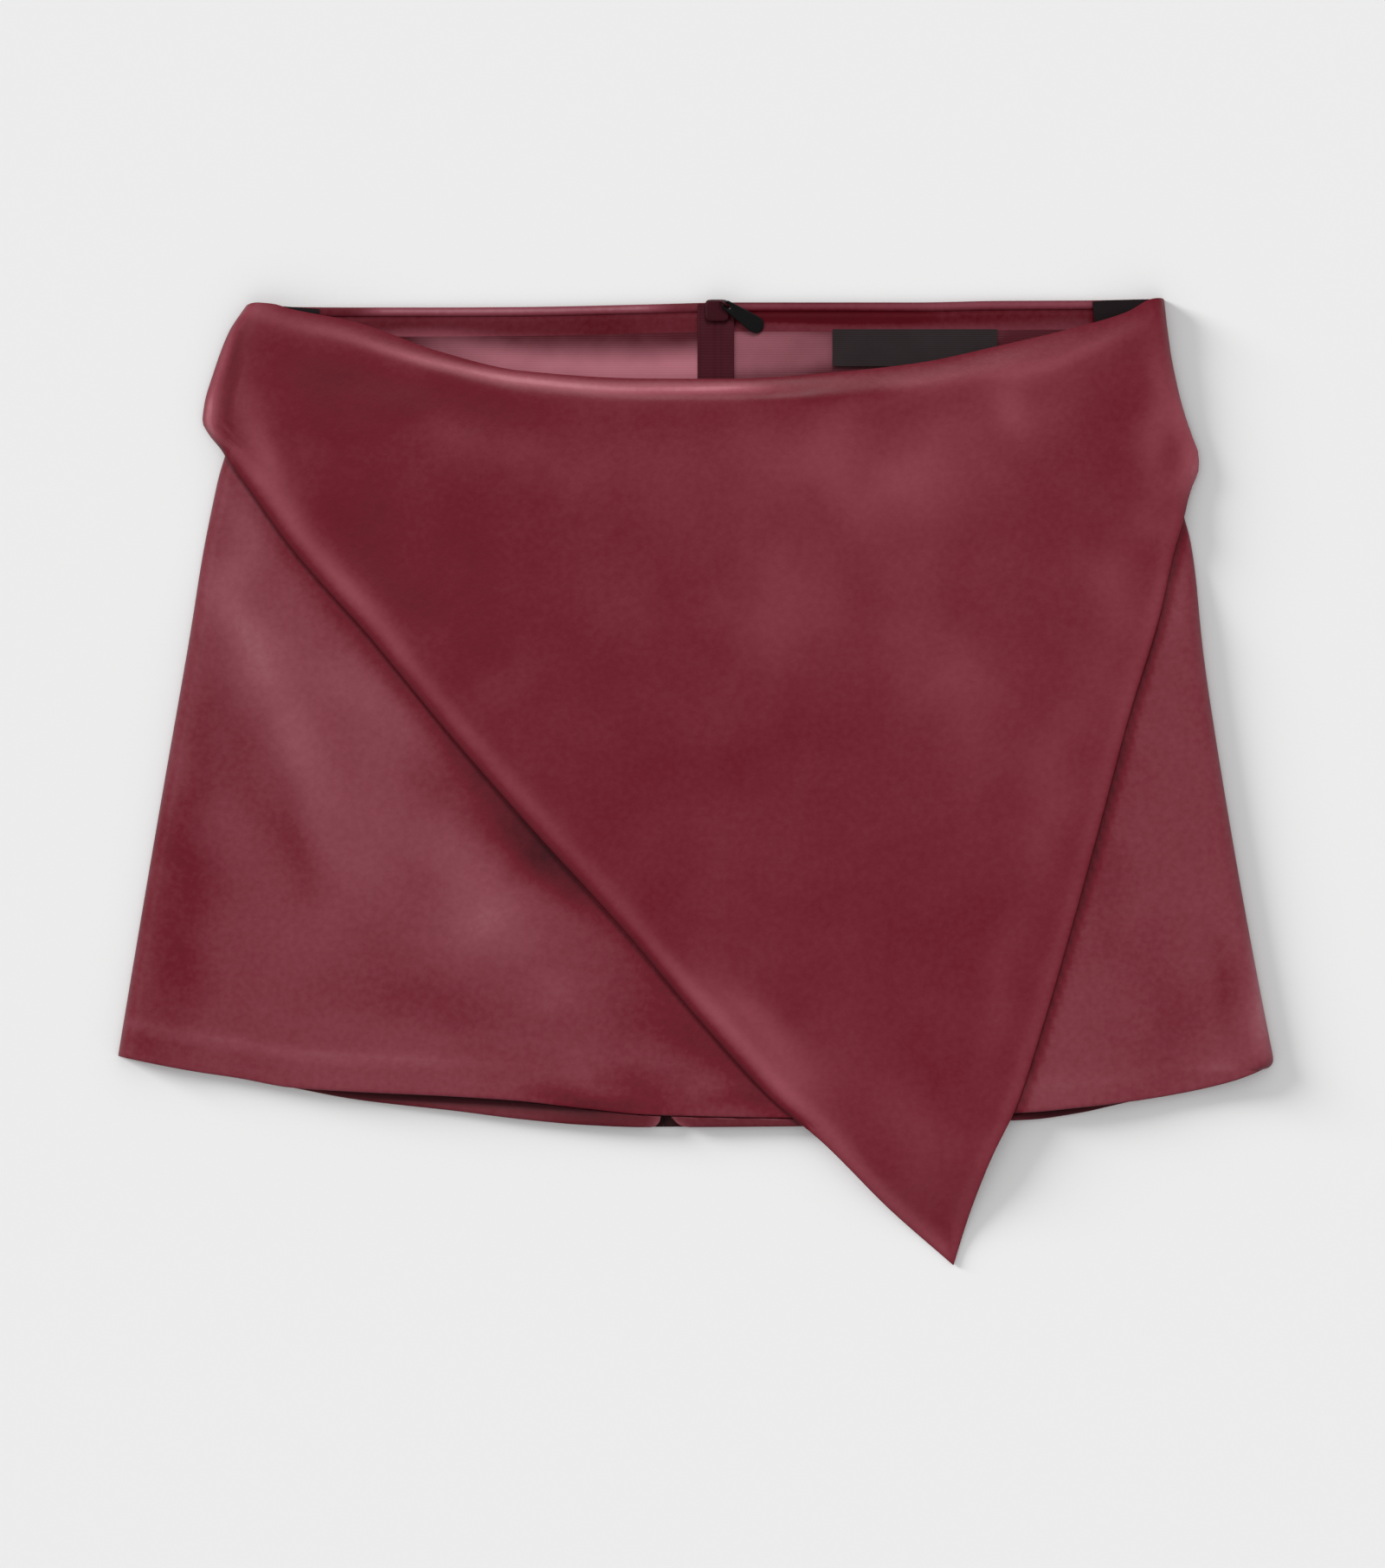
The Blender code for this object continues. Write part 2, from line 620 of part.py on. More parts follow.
def make_slider(surface):
    """Zip slider: a rounded block on the tapes, joined to the wire arch that holds the pull."""
    mesh = bpy.data.meshes.new("zip_slider")
    block = bmesh.new()
    bmesh.ops.create_cube(block, size=1.0)
    bmesh.ops.scale(block, vec=Vector(SLIDER_SIZE) * MM, verts=block.verts)
    centre = Vector((*SLIDER_CENTRE, slider_top() - SLIDER_SIZE[2] / 2))
    bmesh.ops.translate(block, vec=centre * MM, verts=block.verts)
    uprights = [e for e in block.edges if abs(e.verts[0].co.z - e.verts[1].co.z) > 0.5 * MM]
    bmesh.ops.bevel(block, geom=uprights, offset=SLIDER_CORNER * MM, segments=2, profile=0.5, affect="EDGES")
    block.to_mesh(mesh)
    block.free()
    slider = link("zip_slider", mesh, parts, surface)
    join = slider.modifiers.new("arch", "BOOLEAN")
    join.operation = "UNION"
    join.object = make_arch()
    return slider


def pull_outline():
    """The pull's outline: the taut line round its eye circle and its larger bulb circle."""
    eye_at = EYE_RADIUS - EYE_BAR
    lean = math.asin((BULB_RADIUS - EYE_RADIUS) / (BULB_AT - eye_at))
    points = []
    for centre, radius, first, last, steps in (
        (BULB_AT, BULB_RADIUS, -math.pi / 2 - lean, math.pi / 2 + lean, 12),
        (eye_at, EYE_RADIUS, math.pi / 2 + lean, 3 * math.pi / 2 - lean, 8),
    ):
        for k in range(steps + 1):
            turn = mix(first, last, k / steps)
            points.append((centre + radius * math.cos(turn), radius * math.sin(turn)))
    return points


def eye_outline():
    """The hole that the arch passes through, as a slot with round ends."""
    half_length = (EYE_END - EYE_BAR) / 2 - EYE_HALF
    middle = (EYE_END + EYE_BAR) / 2
    points = []
    for sign in (RIGHT, LEFT):
        for k in range(7):
            turn = -math.pi / 2 + math.pi * k / 6 + (0.0 if sign == RIGHT else math.pi)
            along = middle + sign * half_length + EYE_HALF * math.cos(turn)
            points.append((along, EYE_HALF * math.sin(turn)))
    return points


def make_pull(surface):
    """Drop-shaped pull tab on its own hinge axis, lying over the waist edge on the band."""
    outline = bpy.data.curves.new("zip_pull", "CURVE")
    outline.dimensions = "2D"
    outline.fill_mode = "BOTH"
    outline.extrude = PULL_THICK / 2 * MM
    for points in (pull_outline(), eye_outline()):
        spline = outline.splines.new("POLY")
        spline.points.add(len(points) - 1)
        spline.use_cyclic_u = True
        for point, (x, y) in zip(spline.points, points):
            point.co = (x * MM, y * MM, 0.0, 1.0)
    outline.materials.append(surface)
    pull = bpy.data.objects.new("zip_pull", outline)
    parts.objects.link(pull)
    hinge = bpy.data.objects.new("zip_pull_hinge", None)
    parts.objects.link(hinge)
    hinge.matrix_world = Matrix.Translation(pivot() * MM) @ Matrix.Rotation(PULL_TURN, 4, "Z")
    pull.parent = hinge
    pull.rotation_euler = (0.0, PULL_SLOPE, 0.0)
    return pull


for old in list(bpy.data.objects):
    bpy.data.objects.remove(old)

parts = collection("skort")
cutters = collection("cutters")

burgundy = material("faux_leather_burgundy", (0.135, 0.016, 0.026), 0.45)
shade = material("faux_leather_shorts", (0.118, 0.015, 0.023), 0.5)
mauve = material("facing_satin", (0.26, 0.09, 0.12), 0.4)
tape = material("zip_tape_wine", (0.055, 0.008, 0.014), 0.7)
black = material("black_ribbon", (0.012, 0.011, 0.012), 0.6)
enamel = material("black_enamel", (0.010, 0.009, 0.010), 0.3, 0.4)

make_shorts(shade)
make_waist_inside(shade, mauve)
make_zip_tapes(tape)
make_label(black)
for hanger in HANGER_LOOPS:
    make_hanger_loop(hanger, black)
make_skirt_front(burgundy)
make_overlay(burgundy)
make_slider(enamel)
make_pull(enamel)
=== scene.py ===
# %% [markdown]
# # A faux-leather skort, laid flat
#
# A skort is a pair of shorts that looks like a skirt: here a plain A-line skirt front covers the
# legs, and a pointed overlay is wrapped over it from hip to hip. The whole garment lies on its back
# on a table, so every piece is a thin sheet resting on the one below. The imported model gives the
# frame: +Z is up from the table, +Y runs to the waist, and +X to the right as seen from above.

import math
from collections import namedtuple

import bpy
import numpy as np
from mathutils import Matrix, Vector


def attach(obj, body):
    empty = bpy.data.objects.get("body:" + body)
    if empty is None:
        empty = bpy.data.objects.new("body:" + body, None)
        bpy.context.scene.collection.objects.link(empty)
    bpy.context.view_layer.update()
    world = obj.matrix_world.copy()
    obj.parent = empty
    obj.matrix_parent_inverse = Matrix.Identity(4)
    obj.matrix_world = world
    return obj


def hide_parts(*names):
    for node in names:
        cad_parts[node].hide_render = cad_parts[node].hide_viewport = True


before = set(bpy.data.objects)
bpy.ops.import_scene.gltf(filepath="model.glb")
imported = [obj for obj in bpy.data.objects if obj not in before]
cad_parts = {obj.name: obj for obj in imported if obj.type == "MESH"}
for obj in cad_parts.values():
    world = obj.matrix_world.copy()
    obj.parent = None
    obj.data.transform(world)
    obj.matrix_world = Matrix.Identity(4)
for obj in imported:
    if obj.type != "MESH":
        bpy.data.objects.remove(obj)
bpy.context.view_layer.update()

# %% [markdown]
# ## Units and colours
#
# A tailor's sizes are millimetres and Blender's are metres, so every size below is in millimetres
# and is turned at the last moment. Colours are written as the hex values that a colour picker
# shows, and one function undoes the screen's curve, because a shader mixes light, not screen values.

# %% Units and colours
MM = 0.001  # a millimetre in Blender's metres


def linear(hex_colour):
    """Screen colour to light: c / 12.92 in the darkest part, ((c + 0.055) / 1.055) ^ 2.4 above it."""
    shares = [int(hex_colour[k : k + 2], 16) / 255 for k in (1, 3, 5)]
    light = [c / 12.92 if c <= 0.04045 else ((c + 0.055) / 1.055) ** 2.4 for c in shares]
    return (*light, 1.0)


print(f"mid grey #808080 is {linear('#808080')[0]:.2f} of full light")

# %% [markdown]
# ## Table, light and camera
#
# A garment laid out for a shop page is taken from straight above, on a pale seamless surface. Sun
# lamps light such a surface evenly from edge to edge, where a near lamp would fade across it, and a
# wide lamp angle gives them the soft shadow of a big softbox. The table and the cloth want different
# light. A low lamp on the left throws the shadow to the right, but it would streak the cloth, and a
# lamp from beyond the waist picks out the rolled waist edge, but it would wash the shadow out. Light
# linking gives each lamp its own receivers: the low and the overhead lamp light the table only, the
# high one and the one beyond the waist light the garment only, and the pale surroundings light both.
# A long lens keeps the outline as flat as a pattern.

# %% Nodes, materials and lamps
LAMP_DISTANCE = 2.0  # where the lamp's mark stands, as a sun's distance changes nothing


def add_node(tree, kind, settings=None, **inputs):
    """Adds one node. A value that is an output socket is linked, and any other is set on its input.

    An input called _6 is the seventh, because a Mix node gives several inputs the same name.
    """
    node = tree.nodes.new(kind)
    for name, value in (settings or {}).items():
        setattr(node, name, value)
    for name, value in inputs.items():
        key = int(name[1:]) if name[1:].isdigit() else name.replace("_", " ")
        if isinstance(value, bpy.types.NodeSocket):
            tree.links.new(value, node.inputs[key])
        else:
            node.inputs[key].default_value = value
    return node


def new_material(name, **values):
    """An empty material with its Principled shader, whose constant sockets are set here."""
    made = bpy.data.materials.new(name)
    made.use_nodes = True
    shader = made.node_tree.nodes["Principled BSDF"]
    for socket, value in values.items():
        shader.inputs[socket.replace("_", " ")].default_value = value
    return made, made.node_tree, shader


def sun(name, towards, elevation, share, width):
    """A sun lamp from an azimuth, in degrees from +X towards +Y, and an elevation.

    A flat white surface shows share of full white, so the strength is pi share / sin(elevation).
    """
    lamp = bpy.data.lights.new(name, "SUN")
    lamp.energy = math.pi * share / math.sin(math.radians(elevation))
    lamp.angle = math.radians(width)
    holder = bpy.data.objects.new(name, lamp)
    around, up = math.radians(towards), math.radians(elevation)
    source = Vector((math.cos(up) * math.cos(around), math.cos(up) * math.sin(around), math.sin(up)))
    holder.rotation_euler = source.to_track_quat("Z", "Y").to_euler()
    holder.location = source * LAMP_DISTANCE
    bpy.context.scene.collection.objects.link(holder)
    return holder


print("helpers for nodes, materials and lamps")

# %% Softboxes and surroundings
SURROUNDINGS = 0.33  # share of full white that comes from all round
table_only = bpy.data.collections.new("table only")
garment_only = bpy.data.collections.new("garment only")
for lamp, receivers in (
    (sun("low_left_softbox", towards=154, elevation=15.5, share=0.38, width=20), table_only),
    (sun("high_left_softbox", towards=150, elevation=50, share=0.20, width=40), garment_only),
    (sun("waist_softbox", towards=84, elevation=47, share=0.40, width=24), garment_only),
    (sun("overhead_softbox", towards=90, elevation=88, share=0.44, width=150), table_only),
):
    lamp.light_linking.receiver_collection = receivers
    print(f"{lamp.name}: strength {lamp.data.energy:.2f}, {receivers.name}")

world = bpy.data.worlds.new("studio")
world.use_nodes = True
backdrop = world.node_tree.nodes["Background"]
backdrop.inputs["Color"].default_value = (1.0, 1.0, 1.0, 1.0)
backdrop.inputs["Strength"].default_value = SURROUNDINGS
bpy.context.scene.world = world
bpy.context.scene.view_settings.view_transform = "Standard"

# %% Table
TABLE_HALF = 6.0
PAPER_FIBRES = 900.0  # to a metre: matt paper has a fibre about every millimetre

paper, tree, shader = new_material("matt paper backdrop", Roughness=0.95, Specular_IOR_Level=0.1)
place = add_node(tree, "ShaderNodeTexCoord")
fibre = add_node(tree, "ShaderNodeTexNoise", Vector=place.outputs["Object"], Scale=PAPER_FIBRES)
tone = add_node(
    tree,
    "ShaderNodeMix",
    {"data_type": "RGBA"},
    Factor=fibre.outputs["Fac"],
    _6=linear("#DDDDDD"),
    _7=linear("#DFDFDF"),
)
tree.links.new(tone.outputs[2], shader.inputs["Base Color"])

table_mesh = bpy.data.meshes.new("table")
corners = [(x * TABLE_HALF, y * TABLE_HALF, 0) for x, y in ((-1, -1), (1, -1), (1, 1), (-1, 1))]
table_mesh.from_pydata(corners, [], [(0, 1, 2, 3)])
table_mesh.materials.append(paper)
table = bpy.data.objects.new("table", table_mesh)
bpy.context.scene.collection.objects.link(table)
table_only.objects.link(table)
print(f"table: {2 * TABLE_HALF:.0f} m square")

# %% Camera
IMAGE_SIZE = (1600, 1811)
VIEW_HEIGHT = 617.9 * MM  # of the table, from the view's top to its bottom
VIEW_CENTRE = (-1.2 * MM, -1.0 * MM)
CAMERA_HEIGHT = 2.6
CLOTH_HEIGHT = 5.0 * MM  # the level at which the view's height is measured
SENSOR = 36.0

lens = bpy.data.cameras.new("camera")
lens.sensor_width = SENSOR
lens.lens = SENSOR * (CAMERA_HEIGHT - CLOTH_HEIGHT) / VIEW_HEIGHT
camera = bpy.data.objects.new("camera", lens)
camera.location = (*VIEW_CENTRE, CAMERA_HEIGHT)
bpy.context.scene.collection.objects.link(camera)
bpy.context.scene.camera = camera
view_width = VIEW_HEIGHT * IMAGE_SIZE[0] / IMAGE_SIZE[1]
print(f"lens {lens.lens:.0f} mm, view {view_width * 1000:.0f} by {VIEW_HEIGHT * 1000:.0f} mm")

# %% [markdown]
# ## The garment's sizes
#
# The outline of a laid garment is a handful of smooth lines: two side folds, the waist behind and in
# front, the hems and the overlay's free edge. Each is a short table of measured places, as a pattern
# cutter would note them, and a smooth curve runs through the rows. The walls and gaps say how the
# layers stack.

# %% Sizes
LEATHER = 1.2  # faux leather with its turnings
LINING = 1.0  # satin, tape and ribbon with theirs
GAP = 0.3  # air between two layers
SLACK = 0.25  # and a little more under the loose front sheets
LAYER = LEATHER + GAP
TRIM_LAYER = LINING + GAP
SEAM_GAP = 0.04  # between the two halves of a closed seam
TRIM_GAP = 0.03  # between the band and the satin

WAIST_Y = 189.0
HEM_Y = -111.0
Side = namedtuple("Side", "waist_x hem_x bow")
LEFT, RIGHT = -1, 1
SIDES = {
    LEFT: Side(waist_x=-175.2, hem_x=-228.45, bow=1.0),
    RIGHT: Side(waist_x=183.3, hem_x=228.5, bow=-3.9),
}
NEST = 1.7  # how far the overlay's fold stands outside the skirt's
PINCH = 1.0  # how far the fold draws in where the overlay's free edge meets it
PINCH_LENGTH = 7.0
SIDE_EASE = {LEFT: 0.8, RIGHT: 1.5}  # and how far it swells again just below
SIDE_EASE_Y = {LEFT: 92.0, RIGHT: 86.0}
SIDE_EASE_LENGTH = 26.0
HEM_CORNER = 5.0  # radius of the hem's corner at the right fold
HEM_CORNER_Y = -113.5
FOLD_LIFT = 0.7  # the lowest place of a front sheet, at its fold

print(f"garment {SIDES[RIGHT].hem_x - SIDES[LEFT].hem_x:.0f} mm wide at the hem")

# %% Waist and hems
WaistRow = namedtuple("WaistRow", "x back front")
WAIST = (
    WaistRow(x=-177, back=188.0, front=188.9),
    WaistRow(x=-166, back=187.6, front=188.0),
    WaistRow(x=-159, back=187.2, front=186.1),
    WaistRow(x=-134, back=187.0, front=181.0),
    WaistRow(x=-102, back=187.0, front=169.6),
    WaistRow(x=-68, back=187.2, front=161.6),
    WaistRow(x=-20, back=188.2, front=158.6),
    WaistRow(x=15, back=189.0, front=158.5),
    WaistRow(x=54, back=189.0, front=161.0),
    WaistRow(x=88, back=189.0, front=164.8),
    WaistRow(x=119, back=189.6, front=171.4),
    WaistRow(x=157, back=189.8, front=180.7),
    WaistRow(x=170, back=190.1, front=184.9),
    WaistRow(x=179, back=190.3, front=189.8),
    WaistRow(x=185, back=190.4, front=191.0),
)
HemRow = namedtuple("HemRow", "x legs skirt")
HEM = (
    HemRow(x=-228, legs=-107.5, skirt=-108.3),
    HemRow(x=-200, legs=-113.2, skirt=-113.8),
    HemRow(x=-178, legs=-116.6, skirt=-117.1),
    HemRow(x=-158, legs=-121.2, skirt=-120.6),
    HemRow(x=-133, legs=-125.4, skirt=-122.2),
    HemRow(x=-95, legs=-129.8, skirt=-124.0),
    HemRow(x=-68, legs=-133.2, skirt=-125.8),
    HemRow(x=-42, legs=-135.4, skirt=-128.8),
    HemRow(x=-16, legs=-136.3, skirt=-131.4),
    HemRow(x=44, legs=-135.9, skirt=-132.6),
    HemRow(x=128, legs=-133.4, skirt=-130.6),
    HemRow(x=151, legs=-130.6, skirt=-128.6),
    HemRow(x=176, legs=-125.4, skirt=-125.7),
    HemRow(x=197, legs=-121.4, skirt=-122.2),
    HemRow(x=214, legs=-117.0, skirt=-118.2),
    HemRow(x=228, legs=-112.0, skirt=-113.5),
)
print("rows: waist", len(WAIST), "hem", len(HEM))

# %% The overlay's free edge and its bulge at the hips
TIP_X = 101.8  # the overlay's point
EdgeRow = namedtuple("EdgeRow", "x y")
LEFT_EDGE = (
    EdgeRow(x=-187.0, y=130.5),
    EdgeRow(x=-180.0, y=120.6),
    EdgeRow(x=-158.0, y=90.0),
    EdgeRow(x=-130.0, y=58.4),
    EdgeRow(x=-97.0, y=18.4),
    EdgeRow(x=-62.0, y=-21.5),
    EdgeRow(x=-31.0, y=-55.6),
    EdgeRow(x=1.5, y=-94.2),
    EdgeRow(x=30.0, y=-125.4),
    EdgeRow(x=50.0, y=-142.2),
    EdgeRow(x=77.0, y=-169.2),
    EdgeRow(x=TIP_X, y=-191.0),
)
RIGHT_EDGE = (
    EdgeRow(x=TIP_X, y=-191.0),
    EdgeRow(x=108.3, y=-170.0),
    EdgeRow(x=116.2, y=-149.3),
    EdgeRow(x=126.8, y=-127.0),
    EdgeRow(x=136.4, y=-98.0),
    EdgeRow(x=146.4, y=-64.0),
    EdgeRow(x=158.6, y=-20.0),
    EdgeRow(x=170.6, y=24.7),
    EdgeRow(x=183.0, y=66.0),
    EdgeRow(x=188.5, y=90.0),
    EdgeRow(x=193.3, y=106.5),
)
BulgeRow = namedtuple("BulgeRow", "y out")
BULGE = {
    LEFT: (
        BulgeRow(y=130.5, out=0.0),
        BulgeRow(y=137.3, out=6.1),
        BulgeRow(y=142.5, out=9.1),
        BulgeRow(y=149.5, out=9.5),
        BulgeRow(y=161.0, out=8.3),
        BulgeRow(y=176.5, out=5.5),
        BulgeRow(y=188.5, out=0.0),
    ),
    RIGHT: (
        BulgeRow(y=106.5, out=0.0),
        BulgeRow(y=115.2, out=2.8),
        BulgeRow(y=123.5, out=6.8),
        BulgeRow(y=129.0, out=7.4),
        BulgeRow(y=139.0, out=4.9),
        BulgeRow(y=154.5, out=2.1),
        BulgeRow(y=171.5, out=0.5),
        BulgeRow(y=191.0, out=0.0),
    ),
}
print("rows: free edge", len(LEFT_EDGE) + len(RIGHT_EDGE), "bulge", sum(map(len, BULGE.values())))

# %% [markdown]
# ## Curves through the tables
#
# A plain cubic through measured places can swing past them, and a hem that swings is a hem that was
# never cut. Slopes that are the harmonic mean of the two steps beside a row, and zero where the line
# turns, never swing. The curve takes whole arrays, so one call places every point of a sheet.

# %% Curves
def curve_through(rows, across, value):
    """Cubic Hermite pieces: y = y0 (1+2t)(1-t)^2 + y1 t^2 (3-2t) + step t (1-t) (m0 (1-t) - m1 t)."""
    xs = np.array([getattr(row, across) for row in rows], float)
    ys = np.array([getattr(row, value) for row in rows], float)
    steps = np.diff(xs)
    slopes = np.diff(ys) / steps
    product = slopes[:-1] * slopes[1:]
    total = np.where(slopes[:-1] + slopes[1:] == 0, 1.0, slopes[:-1] + slopes[1:])
    inner = np.where(product > 0, 2 * product / total, 0.0)
    lean = np.concatenate([slopes[:1], inner, slopes[-1:]])

    def at(x):
        x = np.clip(x, xs[0], xs[-1])
        k = np.clip(np.searchsorted(xs, x, side="right") - 1, 0, len(steps) - 1)
        t = (x - xs[k]) / steps[k]
        blend = ys[k] * (1 + 2 * t) * (1 - t) ** 2 + ys[k + 1] * t * t * (3 - 2 * t)
        return blend + steps[k] * t * (1 - t) * (lean[k] * (1 - t) - lean[k + 1] * t)

    return at


def mix(a, b, t):
    """a where t is 0, b where it is 1, and a straight line between."""
    return a + (b - a) * t


def ease(t):
    """0 below 0, 1 above 1, and 3t^2 - 2t^3 between."""
    t = np.clip(t, 0.0, 1.0)
    return t * t * (3 - 2 * t)


def hump(distance, width):
    """A bell-shaped share that is 1 at no distance: exp(-(distance / width)^2)."""
    return np.exp(-((distance / width) ** 2))


def quarter_roll(distance, width):
    """Height share of a quarter-round fold: sqrt(1 - (1 - distance / width)^2)."""
    t = np.clip(distance / width, 0.0, 1.0)
    return np.sqrt(1 - (1 - t) ** 2)


back_waist = curve_through(WAIST, "x", "back")
front_waist = curve_through(WAIST, "x", "front")
legs_hem = curve_through(HEM, "x", "legs")
skirt_hem = curve_through(HEM, "x", "skirt")
left_edge = curve_through(LEFT_EDGE, "x", "y")
right_edge = curve_through(RIGHT_EDGE, "x", "y")
bulge = {side: curve_through(rows, "y", "out") for side, rows in BULGE.items()}
notch_y = {side: rows[0].y for side, rows in BULGE.items()}
print(f"front waist dips to {front_waist(np.linspace(-170, 180, 99)).min():.0f} mm")

# %% [markdown]
# ## How high each layer lies
#
# Cloth laid on cloth copies what is under it. The front rises where it passes over the facing and
# the zip, there is a little air in the middle of the garment and at its open hem, and at the side
# folds every front sheet turns down to the table in a quarter round. The overlay is loose over the
# hips, so its fold stands outside the skirt's. All of that is worked out once, as functions of the
# place, so each sheet only adds its own thickness to the level under it.

# %% Side folds
def skirt_side(side, y):
    """The skirt's fold: a line from waist to hem, plus a bow 4t(1-t), less a pinch and a corner."""
    row = SIDES[side]
    t = (WAIST_Y - y) / (WAIST_Y - HEM_Y)
    pinch = PINCH * hump(y - notch_y[side], PINCH_LENGTH)
    pinch = pinch - SIDE_EASE[side] * hump(y - SIDE_EASE_Y[side], SIDE_EASE_LENGTH)
    inside = np.maximum(HEM_CORNER - np.maximum(y - HEM_CORNER_Y, 0.0), 0.0)
    corner = (HEM_CORNER - np.sqrt(HEM_CORNER**2 - inside**2)) * (side == RIGHT)
    return mix(row.waist_x, row.hem_x, t) + side * (row.bow * 4 * t * (1 - t) - pinch - corner)


def overlay_side(side, y):
    """The overlay's fold: the skirt's, a little further out, plus the bulge of the loose cloth."""
    return skirt_side(side, y) + side * (NEST + bulge[side](y) * (y > notch_y[side]))


fold_x = [skirt_side(side, np.linspace(HEM_Y, WAIST_Y, 50)) for side in (LEFT, RIGHT)]
print(f"the skirt's folds run from x {fold_x[0].min():.0f} to {fold_x[1].max():.0f} mm")

# %% Centre-back seam and zip
SEAM_X = 8.0
SEAM_BEND_Y = 120.0
SEAM_SHIFT = 20.0
SEAM_LENGTH = 250.0
TAPE_WIDTH = 7.2
TAPE_LENGTH = 148.0


def seam_x(y):
    """The centre-back seam: straight along the zip, then moving over by the power 1.5 of the way."""
    return SEAM_X - SEAM_SHIFT * (np.maximum(SEAM_BEND_Y - y, 0.0) / SEAM_LENGTH) ** 1.5


print(f"the seam ends {SEAM_X - float(seam_x(HEM_Y)):.1f} mm left of where it begins")

# %% Level of the front
FACING_DEPTH = 50.0
BAND_DEPTH = 11.5
STEP_REACH = 56.0  # over which the front comes down beside what it lies on
STEP_FLAT = 12.0
PUFF = 2.0  # dome of air between front and back
PUFF_CENTRE_Y = 60.0
PUFF_REACH_Y = 175.0
HEM_AIR = 1.4  # air at the open hem
HEM_AIR_REACH = 38.0
HEM_AIR_SHUT = 0.8  # share of that air which is gone where the hem lies shut
HEM_SHUT_X = 45.0
HEM_SHUT_REACH = 60.0


def front_level(x, y):
    """Underside of the front legs: back, facing and zip as smooth steps, a dome of air, and the hem's.

    The dome is (1 - across^2) (1 - along^3), with across and along 1 at the folds and at its ends.
    """
    facing = ease((y - (WAIST_Y - FACING_DEPTH - STEP_REACH)) / (STEP_REACH - STEP_FLAT))
    beside = ease((STEP_REACH + TAPE_WIDTH - np.abs(x - seam_x(y))) / (STEP_REACH - STEP_FLAT))
    along_zip = ease((y - (WAIST_Y - TAPE_LENGTH - STEP_REACH)) / (STEP_REACH - STEP_FLAT))
    left, right = skirt_side(LEFT, y), skirt_side(RIGHT, y)
    across = 2 * (x - left) / (right - left) - 1
    along = np.abs((y - PUFF_CENTRE_Y) / PUFF_REACH_Y)
    air = np.maximum(1 - across**2, 0.0) * np.maximum(1 - along**3, 0.0)
    open_hem = HEM_AIR * hump(y - legs_hem(x), HEM_AIR_REACH) * np.maximum(1 - across**4, 0.0)
    open_hem *= 1 - HEM_AIR_SHUT * hump(x - HEM_SHUT_X, HEM_SHUT_REACH)
    return LAYER + TRIM_LAYER * (facing + beside * along_zip) + PUFF * air + open_hem


middle_level = float(front_level(np.array(0.0), np.array(PUFF_CENTRE_Y)))
print(f"the front legs lie {middle_level:.1f} mm over the table in the middle")

# %% Turning down at the folds
def folded(height, x, y, side_of, roll):
    """A front sheet's height, turned down in a quarter round of that width at both side folds."""
    down = quarter_roll(x - side_of(LEFT, y), roll[LEFT])
    down = down * quarter_roll(side_of(RIGHT, y) - x, roll[RIGHT])
    return FOLD_LIFT + (height - FOLD_LIFT) * down


print(f"at its folds a front sheet comes down to {FOLD_LIFT} mm")

# %% [markdown]
# ## Creases, bloom and painted light
#
# Coated cloth doesn't drape in sharp folds. It keeps soft troughs and ridges from being worn and folded,
# each with its own length, width and depth, so each is a row of a table: a line on the garment with a
# bell-shaped section round it. The coating also has a bloom, a dusty paler look where it has been
# stretched or rubbed. Colour rows work the same way and hold that bloom together with painted light and
# shade: painted sheen in broad patches, painted highlights and painted shadow. They end as a number on
# every point that the material reads. One more table follows the overlay's slanting edge: painted shade
# on the skirt beside it, and a painted highlight on the turned edge just inside it.

# %% Creases
Crease = namedtuple("Crease", "x0 y0 x1 y1 width height")
SKIRT_CREASES = (
    Crease(-182.0, 24.0, -168.0, -34.0, width=8.0, height=-0.9),
    Crease(-165.0, 4.0, -150.0, -46.0, width=6.5, height=-1.0),
    Crease(-174.0, 62.0, -156.0, -6.0, width=6.0, height=0.9),
    Crease(-150.0, 20.0, -140.0, -24.0, width=7.0, height=0.6),
    Crease(-101.5, -3.0, -99.0, -17.0, width=2.4, height=-0.5),
    Crease(-99.0, -17.0, -103.5, -30.0, width=2.2, height=-0.4),
    Crease(-96.0, -34.0, -74.0, -66.0, width=11.0, height=1.1),
    Crease(-128.0, 36.0, -96.0, -18.0, width=14.0, height=0.6),
    Crease(-136.0, -58.0, -120.0, -92.0, width=8.0, height=-0.5),
    Crease(-206.0, -30.0, -196.0, -84.0, width=10.0, height=-1.0),
    Crease(204.0, -60.0, 208.0, -104.0, width=5.0, height=-0.8),
    Crease(176.0, -60.0, 182.0, -104.0, width=8.0, height=0.6),
    Crease(170.0, 20.0, 182.0, -44.0, width=7.0, height=0.5),
)
